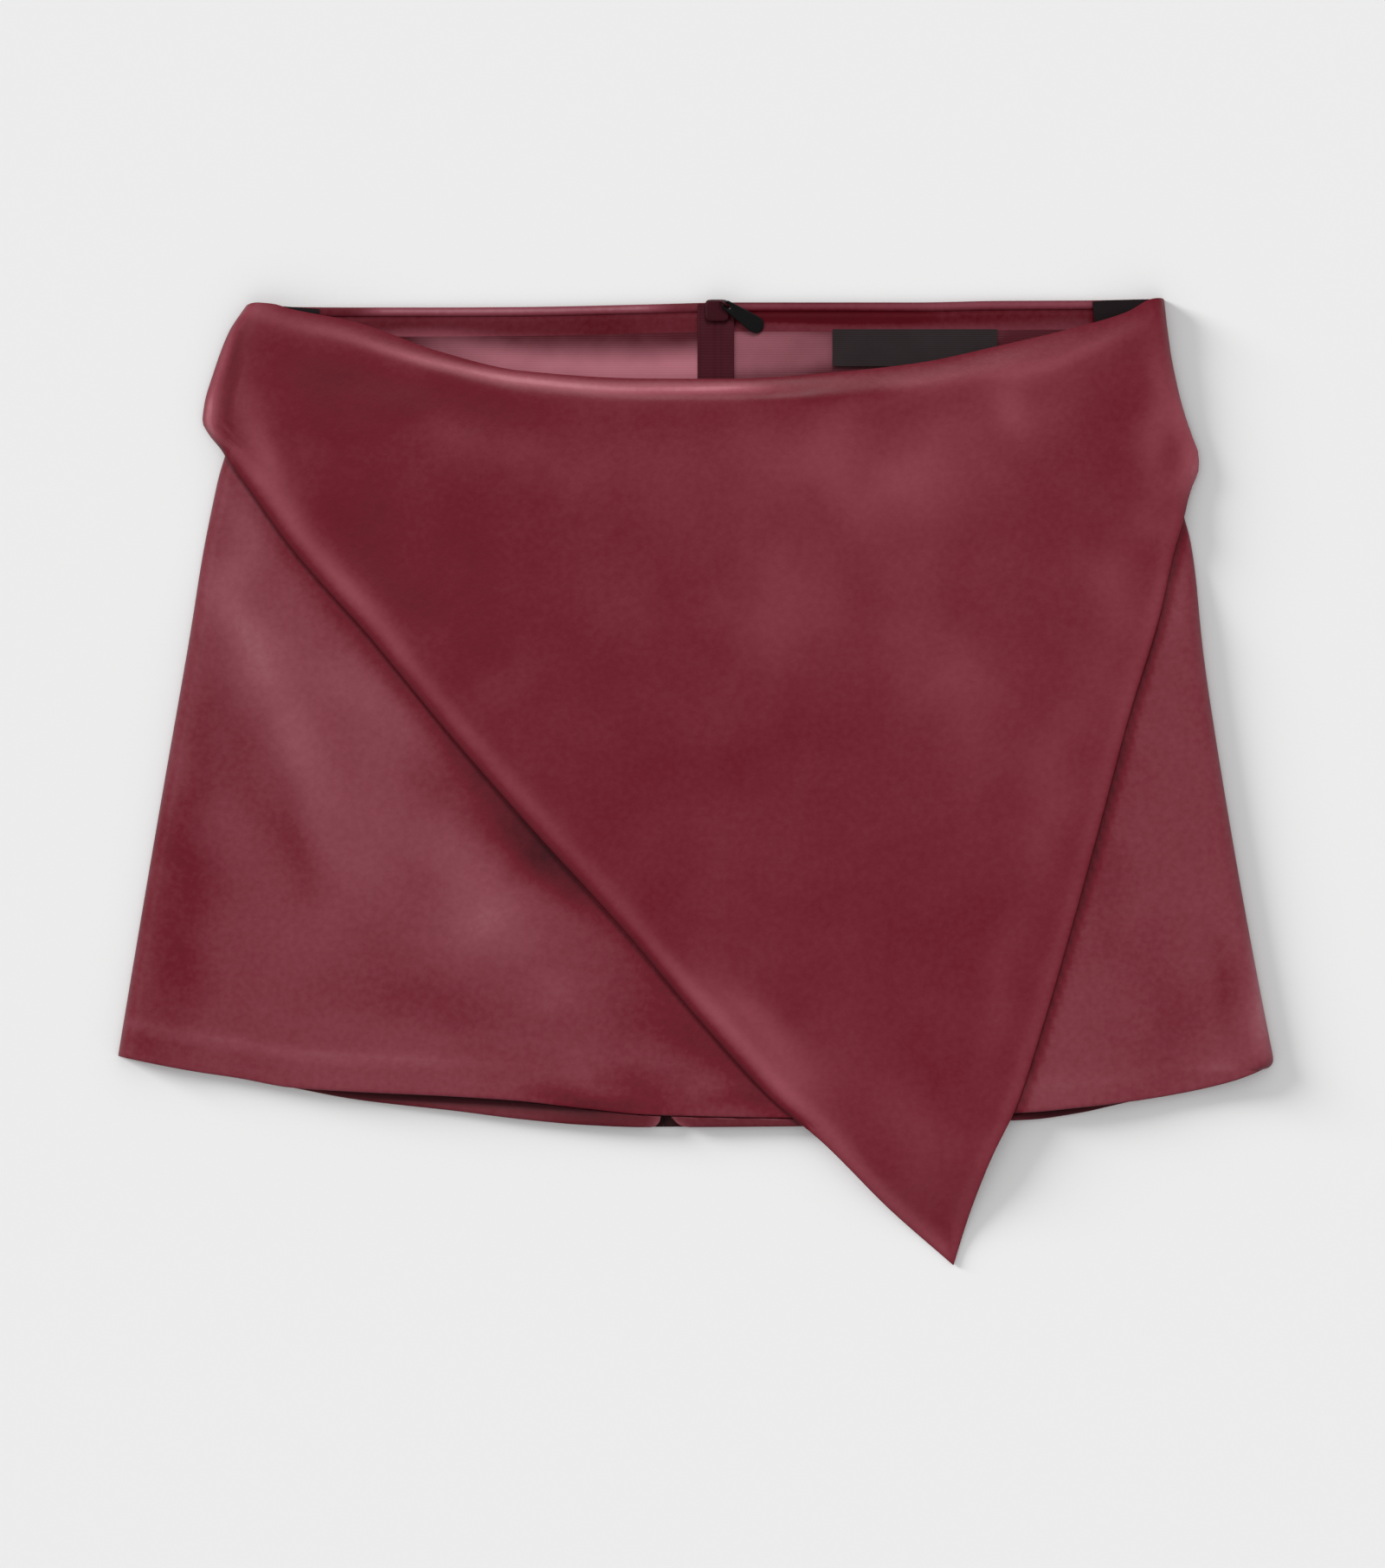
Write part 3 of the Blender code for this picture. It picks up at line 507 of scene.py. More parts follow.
OVERLAY_CREASES = (
    Crease(-176.0, 146.0, -150.0, 98.0, width=5.0, height=0.7),
    Crease(-150.0, 98.0, -116.0, 52.0, width=6.0, height=0.7),
    Crease(-168.0, 162.0, -112.0, 72.0, width=13.0, height=-1.1),
    Crease(-126.0, 146.0, -70.0, 126.0, width=10.0, height=0.7),
    Crease(-70.0, 124.0, 10.0, 106.0, width=18.8, height=0.52),
    Crease(16.0, 120.0, 60.0, 134.0, width=11.2, height=0.38),
    Crease(28.0, 92.0, 50.0, 58.0, width=16.2, height=0.52),
    Crease(92.0, 44.0, 116.0, 20.0, width=11.2, height=0.6),
    Crease(98.0, 62.0, 112.0, 48.0, width=8.8, height=-0.38),
    Crease(60.0, 122.0, 88.0, 108.0, width=15.0, height=0.45),
    Crease(121.0, 160.0, 123.0, 128.0, width=6.2, height=0.45),
    Crease(64.0, -36.0, 110.0, -76.0, width=22.5, height=-0.75),
    Crease(8.0, -80.0, 46.0, -120.0, width=10.0, height=0.75),
    Crease(-60.0, 30.0, -20.0, -20.0, width=27.5, height=-0.6),
    Crease(164.0, 150.0, 171.0, 90.0, width=10.0, height=-0.4),
    Crease(140.0, 152.0, 150.0, 60.0, width=11.2, height=0.38),
    Crease(182.0, 160.0, 184.0, 112.0, width=6.0, height=0.4),
)
print("creases:", len(SKIRT_CREASES), "on the skirt,", len(OVERLAY_CREASES), "on the overlay")

# %% From rows to relief
WANDER = 0.35  # of a row's width
RIPPLE = 0.6  # size of the short waves beside the long ones
LONG_WAVE = (13.0, 14.5)  # mm for each radian, in x and in y
SHORT_WAVE = (6.1, 6.7)
CROSS_WAVE = (19.0, 17.0)
END_FADE = 0.55


def bell(x, y, rows, amount):
    """Sum over the rows of amount s exp(-(d / width)^2), where d is the distance to the row's line.

    The line wanders by two sines of the place, and s falls from 1 in its middle by END_FADE to its
    ends.
    """
    total = np.zeros_like(x)
    for row in rows:
        sway = WANDER * row.width
        ripple_x = np.sin(y / SHORT_WAVE[0] + x / CROSS_WAVE[0] + row.y0)
        ripple_y = np.sin(x / SHORT_WAVE[1] - y / CROSS_WAVE[1] + row.x1)
        u = x + sway * (np.sin(y / LONG_WAVE[0] + row.x0) + RIPPLE * ripple_x)
        v = y + sway * (np.sin(x / LONG_WAVE[1] + row.y1) + RIPPLE * ripple_y)
        run_x, run_y = row.x1 - row.x0, row.y1 - row.y0
        t = ((u - row.x0) * run_x + (v - row.y0) * run_y) / (run_x**2 + run_y**2)
        inside = np.clip(t, 0.0, 1.0)
        away = np.hypot(u - row.x0 - inside * run_x, v - row.y0 - inside * run_y)
        strength = 1 - END_FADE * np.clip(np.abs(2 * t - 1), 0.0, 1.0) ** 2
        total += getattr(row, amount) * strength * hump(away, row.width)
    return total


print(f"a row sways by {WANDER:.0%} of its width")

# %% Bloom and painted light
BloomAndPaintedLight = namedtuple("BloomAndPaintedLight", "x0 y0 x1 y1 width amount")
# painted light and shade with some of the coat's own bloom: painted sheen in broad patches, painted
# shade beside the overlay's edge and along the hem, and a painted highlight along the right fold
SKIRT_BLOOM_AND_PAINTED_LIGHT = (
    BloomAndPaintedLight(-180.0, 112.0, -176.0, 40.0, width=10.0, amount=0.50),
    BloomAndPaintedLight(-172.0, 58.0, -150.0, -6.0, width=9.0, amount=0.45),
    BloomAndPaintedLight(-160.0, 70.0, -118.0, 6.0, width=18.0, amount=0.36),
    BloomAndPaintedLight(-150.0, 0.0, -130.0, -50.0, width=14.0, amount=0.32),
    BloomAndPaintedLight(-112.0, -8.0, -70.0, -66.0, width=18.0, amount=0.34),
    BloomAndPaintedLight(-66.0, -26.0, -58.0, -42.0, width=10.0, amount=-0.34),
    BloomAndPaintedLight(-60.0, -80.0, -48.0, -88.0, width=8.0, amount=0.25),
    BloomAndPaintedLight(-90.0, -46.0, -76.0, -66.0, width=10.0, amount=0.45),
    BloomAndPaintedLight(-212.0, -10.0, -200.0, -92.0, width=17.0, amount=-0.40),
    BloomAndPaintedLight(-222.0, -98.0, -214.0, -112.0, width=7.0, amount=-0.30),
    BloomAndPaintedLight(-182.0, 24.0, -168.0, -34.0, width=9.0, amount=-0.22),
    BloomAndPaintedLight(-164.0, 0.0, -151.0, -44.0, width=6.5, amount=-0.30),
    BloomAndPaintedLight(-190.0, 40.0, -205.0, -30.0, width=7.0, amount=-0.25),
    BloomAndPaintedLight(-99.0, 8.0, -50.0, -42.0, width=12.0, amount=-0.38),
    BloomAndPaintedLight(-170.0, -94.0, -30.0, -110.0, width=8.0, amount=0.10),
    BloomAndPaintedLight(-150.0, -84.0, -60.0, -94.0, width=12.0, amount=-0.20),
    BloomAndPaintedLight(-40.0, -70.0, -6.0, -100.0, width=16.0, amount=-0.20),
    BloomAndPaintedLight(-38.0, -117.0, -4.0, -121.0, width=5.0, amount=-0.40),
    BloomAndPaintedLight(-64.0, -124.0, -6.0, -128.5, width=4.5, amount=-0.62),
    BloomAndPaintedLight(0.0, -127.0, 26.0, -128.0, width=5.0, amount=-0.30),
    BloomAndPaintedLight(-24.0, -96.0, 2.0, -108.0, width=8.0, amount=-0.22),
    BloomAndPaintedLight(-110.0, -112.0, -50.0, -116.0, width=7.0, amount=-0.15),
    BloomAndPaintedLight(222.0, -50.0, 227.0, -106.0, width=5.0, amount=1.05),
    BloomAndPaintedLight(204.0, 60.0, 212.0, -10.0, width=5.0, amount=0.25),
    BloomAndPaintedLight(206.0, -64.0, 208.0, -96.0, width=5.0, amount=-0.30),
    BloomAndPaintedLight(180.0, -66.0, 188.0, -100.0, width=16.0, amount=-0.24),
    BloomAndPaintedLight(166.0, 20.0, 158.0, -60.0, width=10.0, amount=-0.18),
)
# the same on the overlay: painted sheen in broad patches, painted highlights on the hip bulges, and
# painted shade in the groove at the left hip
OVERLAY_BLOOM_AND_PAINTED_LIGHT = (
    BloomAndPaintedLight(-178.0, 156.0, -168.0, 122.0, width=5.0, amount=0.25),
    BloomAndPaintedLight(-172.0, 136.0, -157.0, 106.0, width=5.0, amount=0.42),
    BloomAndPaintedLight(-158.0, 102.0, -118.0, 52.0, width=6.5, amount=0.38),
    BloomAndPaintedLight(-180.0, 182.0, -184.5, 134.0, width=2.4, amount=-0.34),
    BloomAndPaintedLight(177.0, 118.0, 160.0, 46.0, width=9.0, amount=0.18),
    BloomAndPaintedLight(-124.0, 146.0, -60.0, 122.0, width=9.0, amount=0.15),
    BloomAndPaintedLight(-60.0, 124.0, 8.0, 108.0, width=18.0, amount=0.16),
    BloomAndPaintedLight(18.0, 122.0, 60.0, 132.0, width=12.0, amount=0.15),
    BloomAndPaintedLight(28.0, 98.0, 50.0, 56.0, width=22.0, amount=0.18),
    BloomAndPaintedLight(88.0, 48.0, 118.0, 18.0, width=20.0, amount=0.20),
    BloomAndPaintedLight(104.0, 72.0, 112.0, 46.0, width=11.0, amount=-0.08),
    BloomAndPaintedLight(48.0, 124.0, 112.0, 116.0, width=20.0, amount=0.40),
    BloomAndPaintedLight(104.0, 144.0, 160.0, 152.0, width=22.0, amount=0.18),
    BloomAndPaintedLight(60.0, 90.0, 150.0, 50.0, width=44.0, amount=0.18),
    BloomAndPaintedLight(186.0, 178.0, 184.0, 112.0, width=8.0, amount=0.36),
    BloomAndPaintedLight(197.0, 134.0, 194.0, 120.0, width=5.0, amount=0.40),
    BloomAndPaintedLight(166.0, 156.0, 170.0, 88.0, width=14.0, amount=-0.08),
    BloomAndPaintedLight(8.0, -82.0, 46.0, -122.0, width=10.0, amount=0.50),
    BloomAndPaintedLight(60.0, -110.0, 92.0, -150.0, width=20.0, amount=0.18),
    BloomAndPaintedLight(152.0, 36.0, 130.0, -44.0, width=10.0, amount=0.20),
    BloomAndPaintedLight(126.0, -56.0, 112.0, -112.0, width=7.0, amount=0.18),
    BloomAndPaintedLight(166.0, 40.0, 152.0, -14.0, width=8.0, amount=0.12),
    BloomAndPaintedLight(30.0, -104.0, 46.0, -120.0, width=9.0, amount=0.16),
    BloomAndPaintedLight(-158.0, 172.0, -142.0, 150.0, width=10.0, amount=-0.12),
    BloomAndPaintedLight(-190.2, 151.0, -190.8, 136.0, width=3.0, amount=0.60),
    BloomAndPaintedLight(-175.0, 187.0, -166.0, 185.5, width=3.5, amount=0.35),
    BloomAndPaintedLight(180.0, 106.0, 178.0, 92.0, width=7.0, amount=0.22),
    BloomAndPaintedLight(20.0, 151.0, 34.0, 151.0, width=2.0, amount=-0.20),
    BloomAndPaintedLight(40.0, 151.5, 72.0, 152.0, width=4.5, amount=-0.28),
    BloomAndPaintedLight(127.0, 152.0, 121.0, 134.0, width=6.5, amount=0.32),
    BloomAndPaintedLight(-150.0, 120.0, -96.0, 60.0, width=24.0, amount=-0.22),
    BloomAndPaintedLight(-150.0, 166.0, -60.0, 142.0, width=16.0, amount=-0.22),
    BloomAndPaintedLight(-80.0, 80.0, -40.0, 30.0, width=30.0, amount=-0.06),
    BloomAndPaintedLight(60.0, -30.0, 104.0, -74.0, width=28.0, amount=-0.08),
)
print("bloom rows:", len(SKIRT_BLOOM_AND_PAINTED_LIGHT), "on the skirt,", len(OVERLAY_BLOOM_AND_PAINTED_LIGHT), "on the overlay")

# %% Painted shade and highlight along the overlay's slanting edge
EdgeToneRow = namedtuple("EdgeToneRow", "y shade reach light inside")
# at each y: painted shade on the skirt beside the edge and its reach, and a painted highlight on the
# overlay's turned edge and how far inside the edge it lies
EDGE_TONE = (
    EdgeToneRow(y=-185, shade=0.0, reach=6.0, light=0.45, inside=2.5),
    EdgeToneRow(y=-150, shade=0.0, reach=6.0, light=0.45, inside=3.0),
    EdgeToneRow(y=-138, shade=0.30, reach=6.0, light=0.48, inside=4.5),
    EdgeToneRow(y=-118, shade=0.48, reach=7.0, light=0.60, inside=6.5),
    EdgeToneRow(y=-101, shade=0.42, reach=9.0, light=0.60, inside=7.0),
    EdgeToneRow(y=-84, shade=0.26, reach=6.0, light=0.55, inside=6.2),
    EdgeToneRow(y=-67, shade=0.20, reach=4.0, light=0.42, inside=5.6),
    EdgeToneRow(y=-33, shade=0.60, reach=12.0, light=0.24, inside=6.0),
    EdgeToneRow(y=0, shade=0.58, reach=6.5, light=0.30, inside=6.0),
    EdgeToneRow(y=35, shade=0.60, reach=6.0, light=0.36, inside=6.0),
    EdgeToneRow(y=69, shade=0.50, reach=5.5, light=0.46, inside=6.2),
    EdgeToneRow(y=96, shade=0.32, reach=5.0, light=0.50, inside=6.5),
    EdgeToneRow(y=117, shade=0.20, reach=4.0, light=0.50, inside=6.0),
    EdgeToneRow(y=131, shade=0.10, reach=4.0, light=0.25, inside=5.0),
)
edge_shade = curve_through(EDGE_TONE, "y", "shade")
edge_reach = curve_through(EDGE_TONE, "y", "reach")
edge_light = curve_through(EDGE_TONE, "y", "light")
edge_inside = curve_through(EDGE_TONE, "y", "inside")
print("edge tone rows:", len(EDGE_TONE))

# %% [markdown]
# ## From a grid of points to a cloth wall
#
# Each piece is a surface P(row, column) with a wall under it. Solidify would do for an even sheet,
# but a turned edge is rounder on top than below, so the wall is built here: the top grid, the same
# grid moved in along its normals, and a strip of faces round the border. The shoulder lowers the
# top close to a free edge.

# %% Normals, meshes and UV maps
def grid_normals(points):
    """Unit normals of a grid: cross product of the steps down a column and along a row."""
    down = np.gradient(points, axis=0)
    along = np.gradient(points, axis=1)
    normals = np.cross(down, along)
    return normals / np.linalg.norm(normals, axis=2, keepdims=True)


def mesh_object(name, points, faces, surface, smooth_angle=50.0):
    """Puts arrays of points in mm and faces into a mesh with foreach_set."""
    mesh = bpy.data.meshes.new(name)
    mesh.vertices.add(len(points))
    mesh.vertices.foreach_set("co", (points * MM).astype(np.float32).ravel())
    mesh.loops.add(faces.size)
    mesh.loops.foreach_set("vertex_index", faces.astype(np.int32).ravel())
    mesh.polygons.add(len(faces))
    starts = np.arange(len(faces)) * faces.shape[1]
    mesh.polygons.foreach_set("loop_start", starts.astype(np.int32))
    mesh.update(calc_edges=True)
    mesh.validate()
    mesh.shade_smooth()
    mesh.set_sharp_from_angle(angle=math.radians(smooth_angle))
    mesh.materials.append(surface)
    made = bpy.data.objects.new(name, mesh)
    bpy.context.scene.collection.objects.link(made)
    garment_only.objects.link(made)
    return made


def add_uv(mesh, flat):
    """A UV map in metres of cloth, from each vertex's flat place in mm."""
    corners = np.empty(len(mesh.loops), np.int32)
    mesh.loops.foreach_get("vertex_index", corners)
    layer = mesh.uv_layers.new(name="cloth")
    layer.data.foreach_set("uv", (flat[corners] * MM).astype(np.float32).ravel())


print("helpers for grids and meshes")

# %% The cloth wall
LEAST_WALL = 0.2  # of the wall, where a shoulder or the table leaves it no more room
UNDER_SHOULDER = 0.5  # how much of the shoulder the underside follows


def cloth(name, points, wall, surface, shoulder=0.0, bloom_and_painted_light=0.0, flat=None):
    """A closed sheet: the top grid, the same moved in by the wall, and the border between them."""
    rows, columns, _ = points.shape
    under = points - grid_normals(points) * wall
    top = points.copy()
    top[..., 2] -= shoulder
    highest = np.maximum(top[..., 2] - LEAST_WALL * wall, 0.0)
    under[..., 2] = np.clip(under[..., 2] + np.asarray(shoulder) * UNDER_SHOULDER, 0.0, highest)
    number = np.arange(rows * columns).reshape(rows, columns)
    below = number + rows * columns
    quads = [
        np.stack([number[:-1, :-1], number[1:, :-1], number[1:, 1:], number[:-1, 1:]], axis=-1),
        np.stack([below[:-1, :-1], below[:-1, 1:], below[1:, 1:], below[1:, :-1]], axis=-1),
        np.stack([number[0, :-1], number[0, 1:], below[0, 1:], below[0, :-1]], axis=-1),
        np.stack([number[-1, :-1], below[-1, :-1], below[-1, 1:], number[-1, 1:]], axis=-1),
        np.stack([number[:-1, 0], below[:-1, 0], below[1:, 0], number[1:, 0]], axis=-1),
        np.stack([number[:-1, -1], number[1:, -1], below[1:, -1], below[:-1, -1]], axis=-1),
    ]
    faces = np.concatenate([q.reshape(-1, 4) for q in quads])
    shell = np.concatenate([top.reshape(-1, 3), under.reshape(-1, 3)])
    made = mesh_object(name, shell, faces, surface)
    plan = points[..., :2] if flat is None else flat
    add_uv(made.data, np.concatenate([plan.reshape(-1, 2)] * 2))
    # the bloom attribute holds the coat's bloom together with painted light and shade
    values = np.broadcast_to(bloom_and_painted_light, (rows, columns)).ravel()
    layer = made.data.attributes.new("bloom_and_painted_light", "FLOAT", "POINT")
    layer.data.foreach_set("value", np.concatenate([values, values]).astype(np.float32))
    print(f"{name}: {2 * len(faces)} triangles")
    return made


print(f"a wall keeps at least {LEAST_WALL:.0%} of its thickness")

# %% Spacing of rows and columns
def roll_places(width, count=9):
    """Distances across a quarter roll that are even along its arc: width (1 - cos(turn))."""
    return width * (1 - np.cos(np.linspace(0, math.pi / 2, count)))


def spaced(first, last, count):
    """count places from first to last, leaving out first."""
    return np.linspace(first, last, count + 1)[1:]


# Distances of the last rows from a free edge: they come closer together towards it.
EDGE_PLACES = np.array([14.0, 11.0, 9.0, 7.4, 6.0, 4.8, 3.8, 3.0, 2.3, 1.7, 1.2, 0.8, 0.45, 0.2, 0.0])
SHOULDER_WIDTH = 1.4
SHOULDER_DROP = 0.5


def edge_shoulder(distance, drop=SHOULDER_DROP):
    """How far the top of a turned edge is lowered, from its full drop at the edge to none inside."""
    return drop * (1 - quarter_roll(distance, SHOULDER_WIDTH))


print("rows near a free edge:", len(EDGE_PLACES))

# %% [markdown]
# ## Faux leather
#
# The skort is polyurethane leather: a knit backing with a thin coloured coat, pressed with a fine
# grain. The coat gives a soft, wide gloss rather than a mirror, and it blooms where it is stretched.
# The colour runs from a painted crevice shade through a deep burgundy to a dusty and a pale one, the
# pale one mostly for painted highlights. The bloom and painted light on each point say how far, and
# three sizes of noise break it up: clouds, mottle and specks.
# Real grain is about 0.6 mm, which is too fine to show in the render, so it is drawn at 1.3 mm.
# Roughness varies with the mottle, as on a handled coat. The shorts are cut from the same cloth in a
# slightly deeper colour, and the band inside the waist in much deeper colours, which paint in the shade
# of the hollow inside the waist.

# %% Faux leather
GRAIN_MM, GRAIN_DEPTH_MM = 1.3, 0.08
WRINKLE_MM, WRINKLE_DEPTH_MM = 7.0, 0.5
MOTTLE_MM = 26.0
CLOUD_MM = 75.0
SPECK_MM = 2.4
MOTTLE_SPREAD = 0.05  # of a step from one colour to the next
CLOUD_SPREAD = 0.045
NOISE_LOW, NOISE_HIGH = 0.3, 0.7  # most of a noise lies between these
SMOOTHER, ROUGHER = 0.05, 0.06  # how far the mottle takes the roughness down and up
# colour of painted shade in crevices and under edges, at bloom -1
CREVICE_SHADE = "#2C060D"


def per_metre(size_mm):
    """How many of that size go into a metre, which is what a noise node's scale means."""
    return 1.0 / (size_mm * MM)


def faux_leather(name, deep, dusty, pale, roughness, specular, speck_spread):
    """Polyurethane leather: the bloom and painted light on each point, with three noises, choose the
    colour, and grain and wrinkles the bump.

    A value of -1 is painted shade in a crevice, 0 the deep colour, 1 the dusty one and 2 the pale one,
    used for painted highlights.
    """
    made, tree, shader = new_material(name, Specular_IOR_Level=specular)
    place = add_node(tree, "ShaderNodeTexCoord").outputs["Object"]
    share = add_node(tree, "ShaderNodeAttribute", {"attribute_name": "bloom_and_painted_light"}).outputs["Fac"]
    noises = {}
    for size, detail, spread in (
        (MOTTLE_MM, 3.0, MOTTLE_SPREAD),
        (CLOUD_MM, 2.0, CLOUD_SPREAD),
        (SPECK_MM, 2.0, speck_spread),
    ):
        noise = add_node(tree, "ShaderNodeTexNoise", Vector=place, Scale=per_metre(size), Detail=detail)
        noises[size] = noise.outputs["Fac"]
        patch = add_node(
            tree,
            "ShaderNodeMapRange",
            Value=noises[size],
            From_Min=NOISE_LOW,
            From_Max=NOISE_HIGH,
            To_Min=-spread,
            To_Max=spread,
        )
        total = add_node(tree, "ShaderNodeMath", {"operation": "ADD"}, _0=share, _1=patch.outputs[0])
        share = total.outputs[0]
    along = add_node(tree, "ShaderNodeMapRange", Value=share, From_Min=-1.0, From_Max=2.0)
    colour = add_node(tree, "ShaderNodeValToRGB", Fac=along.outputs[0])
    stops = colour.color_ramp.elements
    stops[0].color, stops[1].color = linear(CREVICE_SHADE), linear(pale)
    stops.new(1 / 3).color = linear(deep)  # bloom 0 lies a third of the way from -1 to 2
    stops.new(2 / 3).color = linear(dusty)
    tree.links.new(colour.outputs["Color"], shader.inputs["Base Color"])
    rough = add_node(
        tree,
        "ShaderNodeMapRange",
        Value=noises[MOTTLE_MM],
        From_Min=0.25,
        From_Max=0.75,
        To_Min=roughness - SMOOTHER,
        To_Max=roughness + ROUGHER,
    )
    tree.links.new(rough.outputs[0], shader.inputs["Roughness"])
    grain = add_node(tree, "ShaderNodeTexVoronoi", Vector=place, Scale=per_metre(GRAIN_MM))
    wrinkle = add_node(tree, "ShaderNodeTexNoise", Vector=place, Scale=per_metre(WRINKLE_MM), Detail=4.0)
    broad = add_node(
        tree,
        "ShaderNodeBump",
        Height=wrinkle.outputs["Fac"],
        Strength=0.35,
        Distance=WRINKLE_DEPTH_MM * MM,
    )
    fine = add_node(
        tree,
        "ShaderNodeBump",
        Height=grain.outputs["Distance"],
        Strength=0.25,
        Distance=GRAIN_DEPTH_MM * MM,
        Normal=broad.outputs["Normal"],
    )
    tree.links.new(fine.outputs["Normal"], shader.inputs["Normal"])
    print(f"{name}: {len(tree.nodes)} nodes")
    return made


burgundy = faux_leather(
    "polyurethane leather, burgundy", "#6C1524", "#974A55", "#D48C96", 0.44, 0.18, speck_spread=0.05
)
skirt_burgundy = faux_leather(
    "polyurethane leather, skirt front", "#6D1826", "#904B56", "#AC787F", 0.46, 0.18, speck_spread=0.09
)
shorts_burgundy = faux_leather(
    "polyurethane leather, shorts", "#5E1722", "#82404A", "#A06A70", 0.5, 0.18, speck_spread=0.08
)
# much deeper colours for the band, painted shade of the hollow inside the waist
band_leather_in_shade = faux_leather(
    "polyurethane leather, waist band", "#520814", "#8A4854", "#C8989E", 0.5, 0.05, speck_spread=0.05
)

# %% [markdown]
# ## Satin, ribbon, tape and enamel
#
# The facing is a polyester satin: long floats on one face, with a soft even shine. The label and the
# hanger loops are woven ribbon, with fine ribs across their length, and the zip tape is a plain
# twill. Weaves of 0.3 mm are too fine to show in the render and are drawn at 0.8 to 1.1 mm. The
# zip's slider and pull are cast zinc under stoved enamel, which is smooth and hard, with the faint
# orange peel that a stoved coat has. The pull is black, and the slider a very dark wine that goes
# with its tape.

# %% Satin, ribbon and tape
DYE_MM = 9.0  # size of the uneven places in the dye
DYE_SHARE = 0.2
RIB_SHARE = 0.07


def woven(name, colour, lighter, rib_mm, roughness, specular, sheen, bump_mm):
    """Woven cloth: a wave in the piece's own UV map gives the ribs, and a noise the uneven dye.

    The bloom and painted light on each point move the colour from the first to the lighter one.
    """
    made, tree, shader = new_material(
        name, Roughness=roughness, Specular_IOR_Level=specular, Sheen_Weight=sheen, Sheen_Roughness=0.4
    )
    flat = add_node(tree, "ShaderNodeUVMap", {"uv_map": "cloth"}).outputs["UV"]
    ribs = add_node(
        tree,
        "ShaderNodeTexWave",
        {"wave_type": "BANDS", "bands_direction": "Y"},
        Vector=flat,
        Scale=per_metre(rib_mm) / 20 * 2 * math.pi,  # the node's own wave is 2 pi / 20 long
    )
    dye = add_node(tree, "ShaderNodeTexNoise", Vector=flat, Scale=per_metre(DYE_MM), Detail=2.0)
    bloom_and_painted_light = add_node(tree, "ShaderNodeAttribute", {"attribute_name": "bloom_and_painted_light"}).outputs["Fac"]
    dyed = add_node(
        tree,
        "ShaderNodeMath",
        {"operation": "MULTIPLY_ADD"},
        _0=dye.outputs["Fac"],
        _1=DYE_SHARE,
        _2=bloom_and_painted_light,
    )
    share = add_node(
        tree,
        "ShaderNodeMath",
        {"operation": "MULTIPLY_ADD", "use_clamp": True},
        _0=ribs.outputs["Fac"],
        _1=RIB_SHARE,
        _2=dyed.outputs[0],
    )
    tint = add_node(
        tree,
        "ShaderNodeMix",
        {"data_type": "RGBA"},
        Factor=share.outputs[0],
        _6=linear(colour),
        _7=linear(lighter),
    )
    tree.links.new(tint.outputs[2], shader.inputs["Base Color"])
    relief = add_node(
        tree, "ShaderNodeBump", Height=ribs.outputs["Fac"], Strength=0.5, Distance=bump_mm * MM
    )
    tree.links.new(relief.outputs["Normal"], shader.inputs["Normal"])
    print(f"{name}: a rib every {rib_mm} mm")
    return made


satin = woven("polyester satin, mauve", "#4B0E1A", "#B26C79", 0.9, 0.38, 0.2, 0.05, 0.04)
tape_twill = woven("zip tape twill, wine", "#3A0B15", "#6E3540", 1.1, 0.75, 0.1, 0.05, 0.08)
ribbon = woven("woven ribbon, black", "#180F11", "#3E3436", 0.8, 0.6, 0.1, 0.0, 0.08)

# %% Enamel
PEEL_MM = 0.7


def stoved_enamel(name, thin, thick, specular, coat):
    """Stoved enamel: a fine orange peel makes the gloss uneven, and the colour thinner and thicker."""
    made, tree, shader = new_material(
        name, Specular_IOR_Level=specular, Coat_Weight=coat, Coat_Roughness=0.15
    )
    place = add_node(tree, "ShaderNodeTexCoord").outputs["Object"]
    noise = add_node(tree, "ShaderNodeTexNoise", Vector=place, Scale=per_metre(PEEL_MM), Detail=1.0)
    peel = noise.outputs["Fac"]
    gloss = add_node(tree, "ShaderNodeMapRange", Value=peel, To_Min=0.22, To_Max=0.4)
    tint = add_node(
        tree, "ShaderNodeMix", {"data_type": "RGBA"}, Factor=peel, _6=linear(thin), _7=linear(thick)
    )
    tree.links.new(tint.outputs[2], shader.inputs["Base Color"])
    tree.links.new(gloss.outputs[0], shader.inputs["Roughness"])
    print(f"{name}: peel of {PEEL_MM} mm")
    return made


black_enamel = stoved_enamel(
    "stoved enamel on zinc, black", "#060506", "#0E0C0D", specular=0.2, coat=0.06
)
slider_enamel = stoved_enamel(
    "stoved enamel on zinc, black wine", "#300B13", "#40121C", specular=0.1, coat=0.03
)

# %% [markdown]
# ## Skirt front
#
# The front is one A-line panel, folded to the back at both sides. Its columns run from waist to hem
# and keep their distance from the folds, so the roll of each fold stays even. Near the hem the rows
# lie close together, and a low ridge shows where the turned-up hem ends inside. Where the overlay
# lies on it the creases fade out, as cloth under cloth is pressed flat.

# %% Where the skirt shows
FADE_UNDER = {LEFT: 8.0, RIGHT: 6.0}  # how far under each edge of the overlay the creases fade out


def free_edge(x):
    """The overlay's free edge, left of its point and right of it."""
    return np.where(x < TIP_X, left_edge(x), right_edge(x))


def right_edge_x(y):
    """The right part of the free edge is steep, so it is also read the other way, by its height."""
    return np.interp(y, [row.y for row in RIGHT_EDGE], [row.x for row in RIGHT_EDGE])


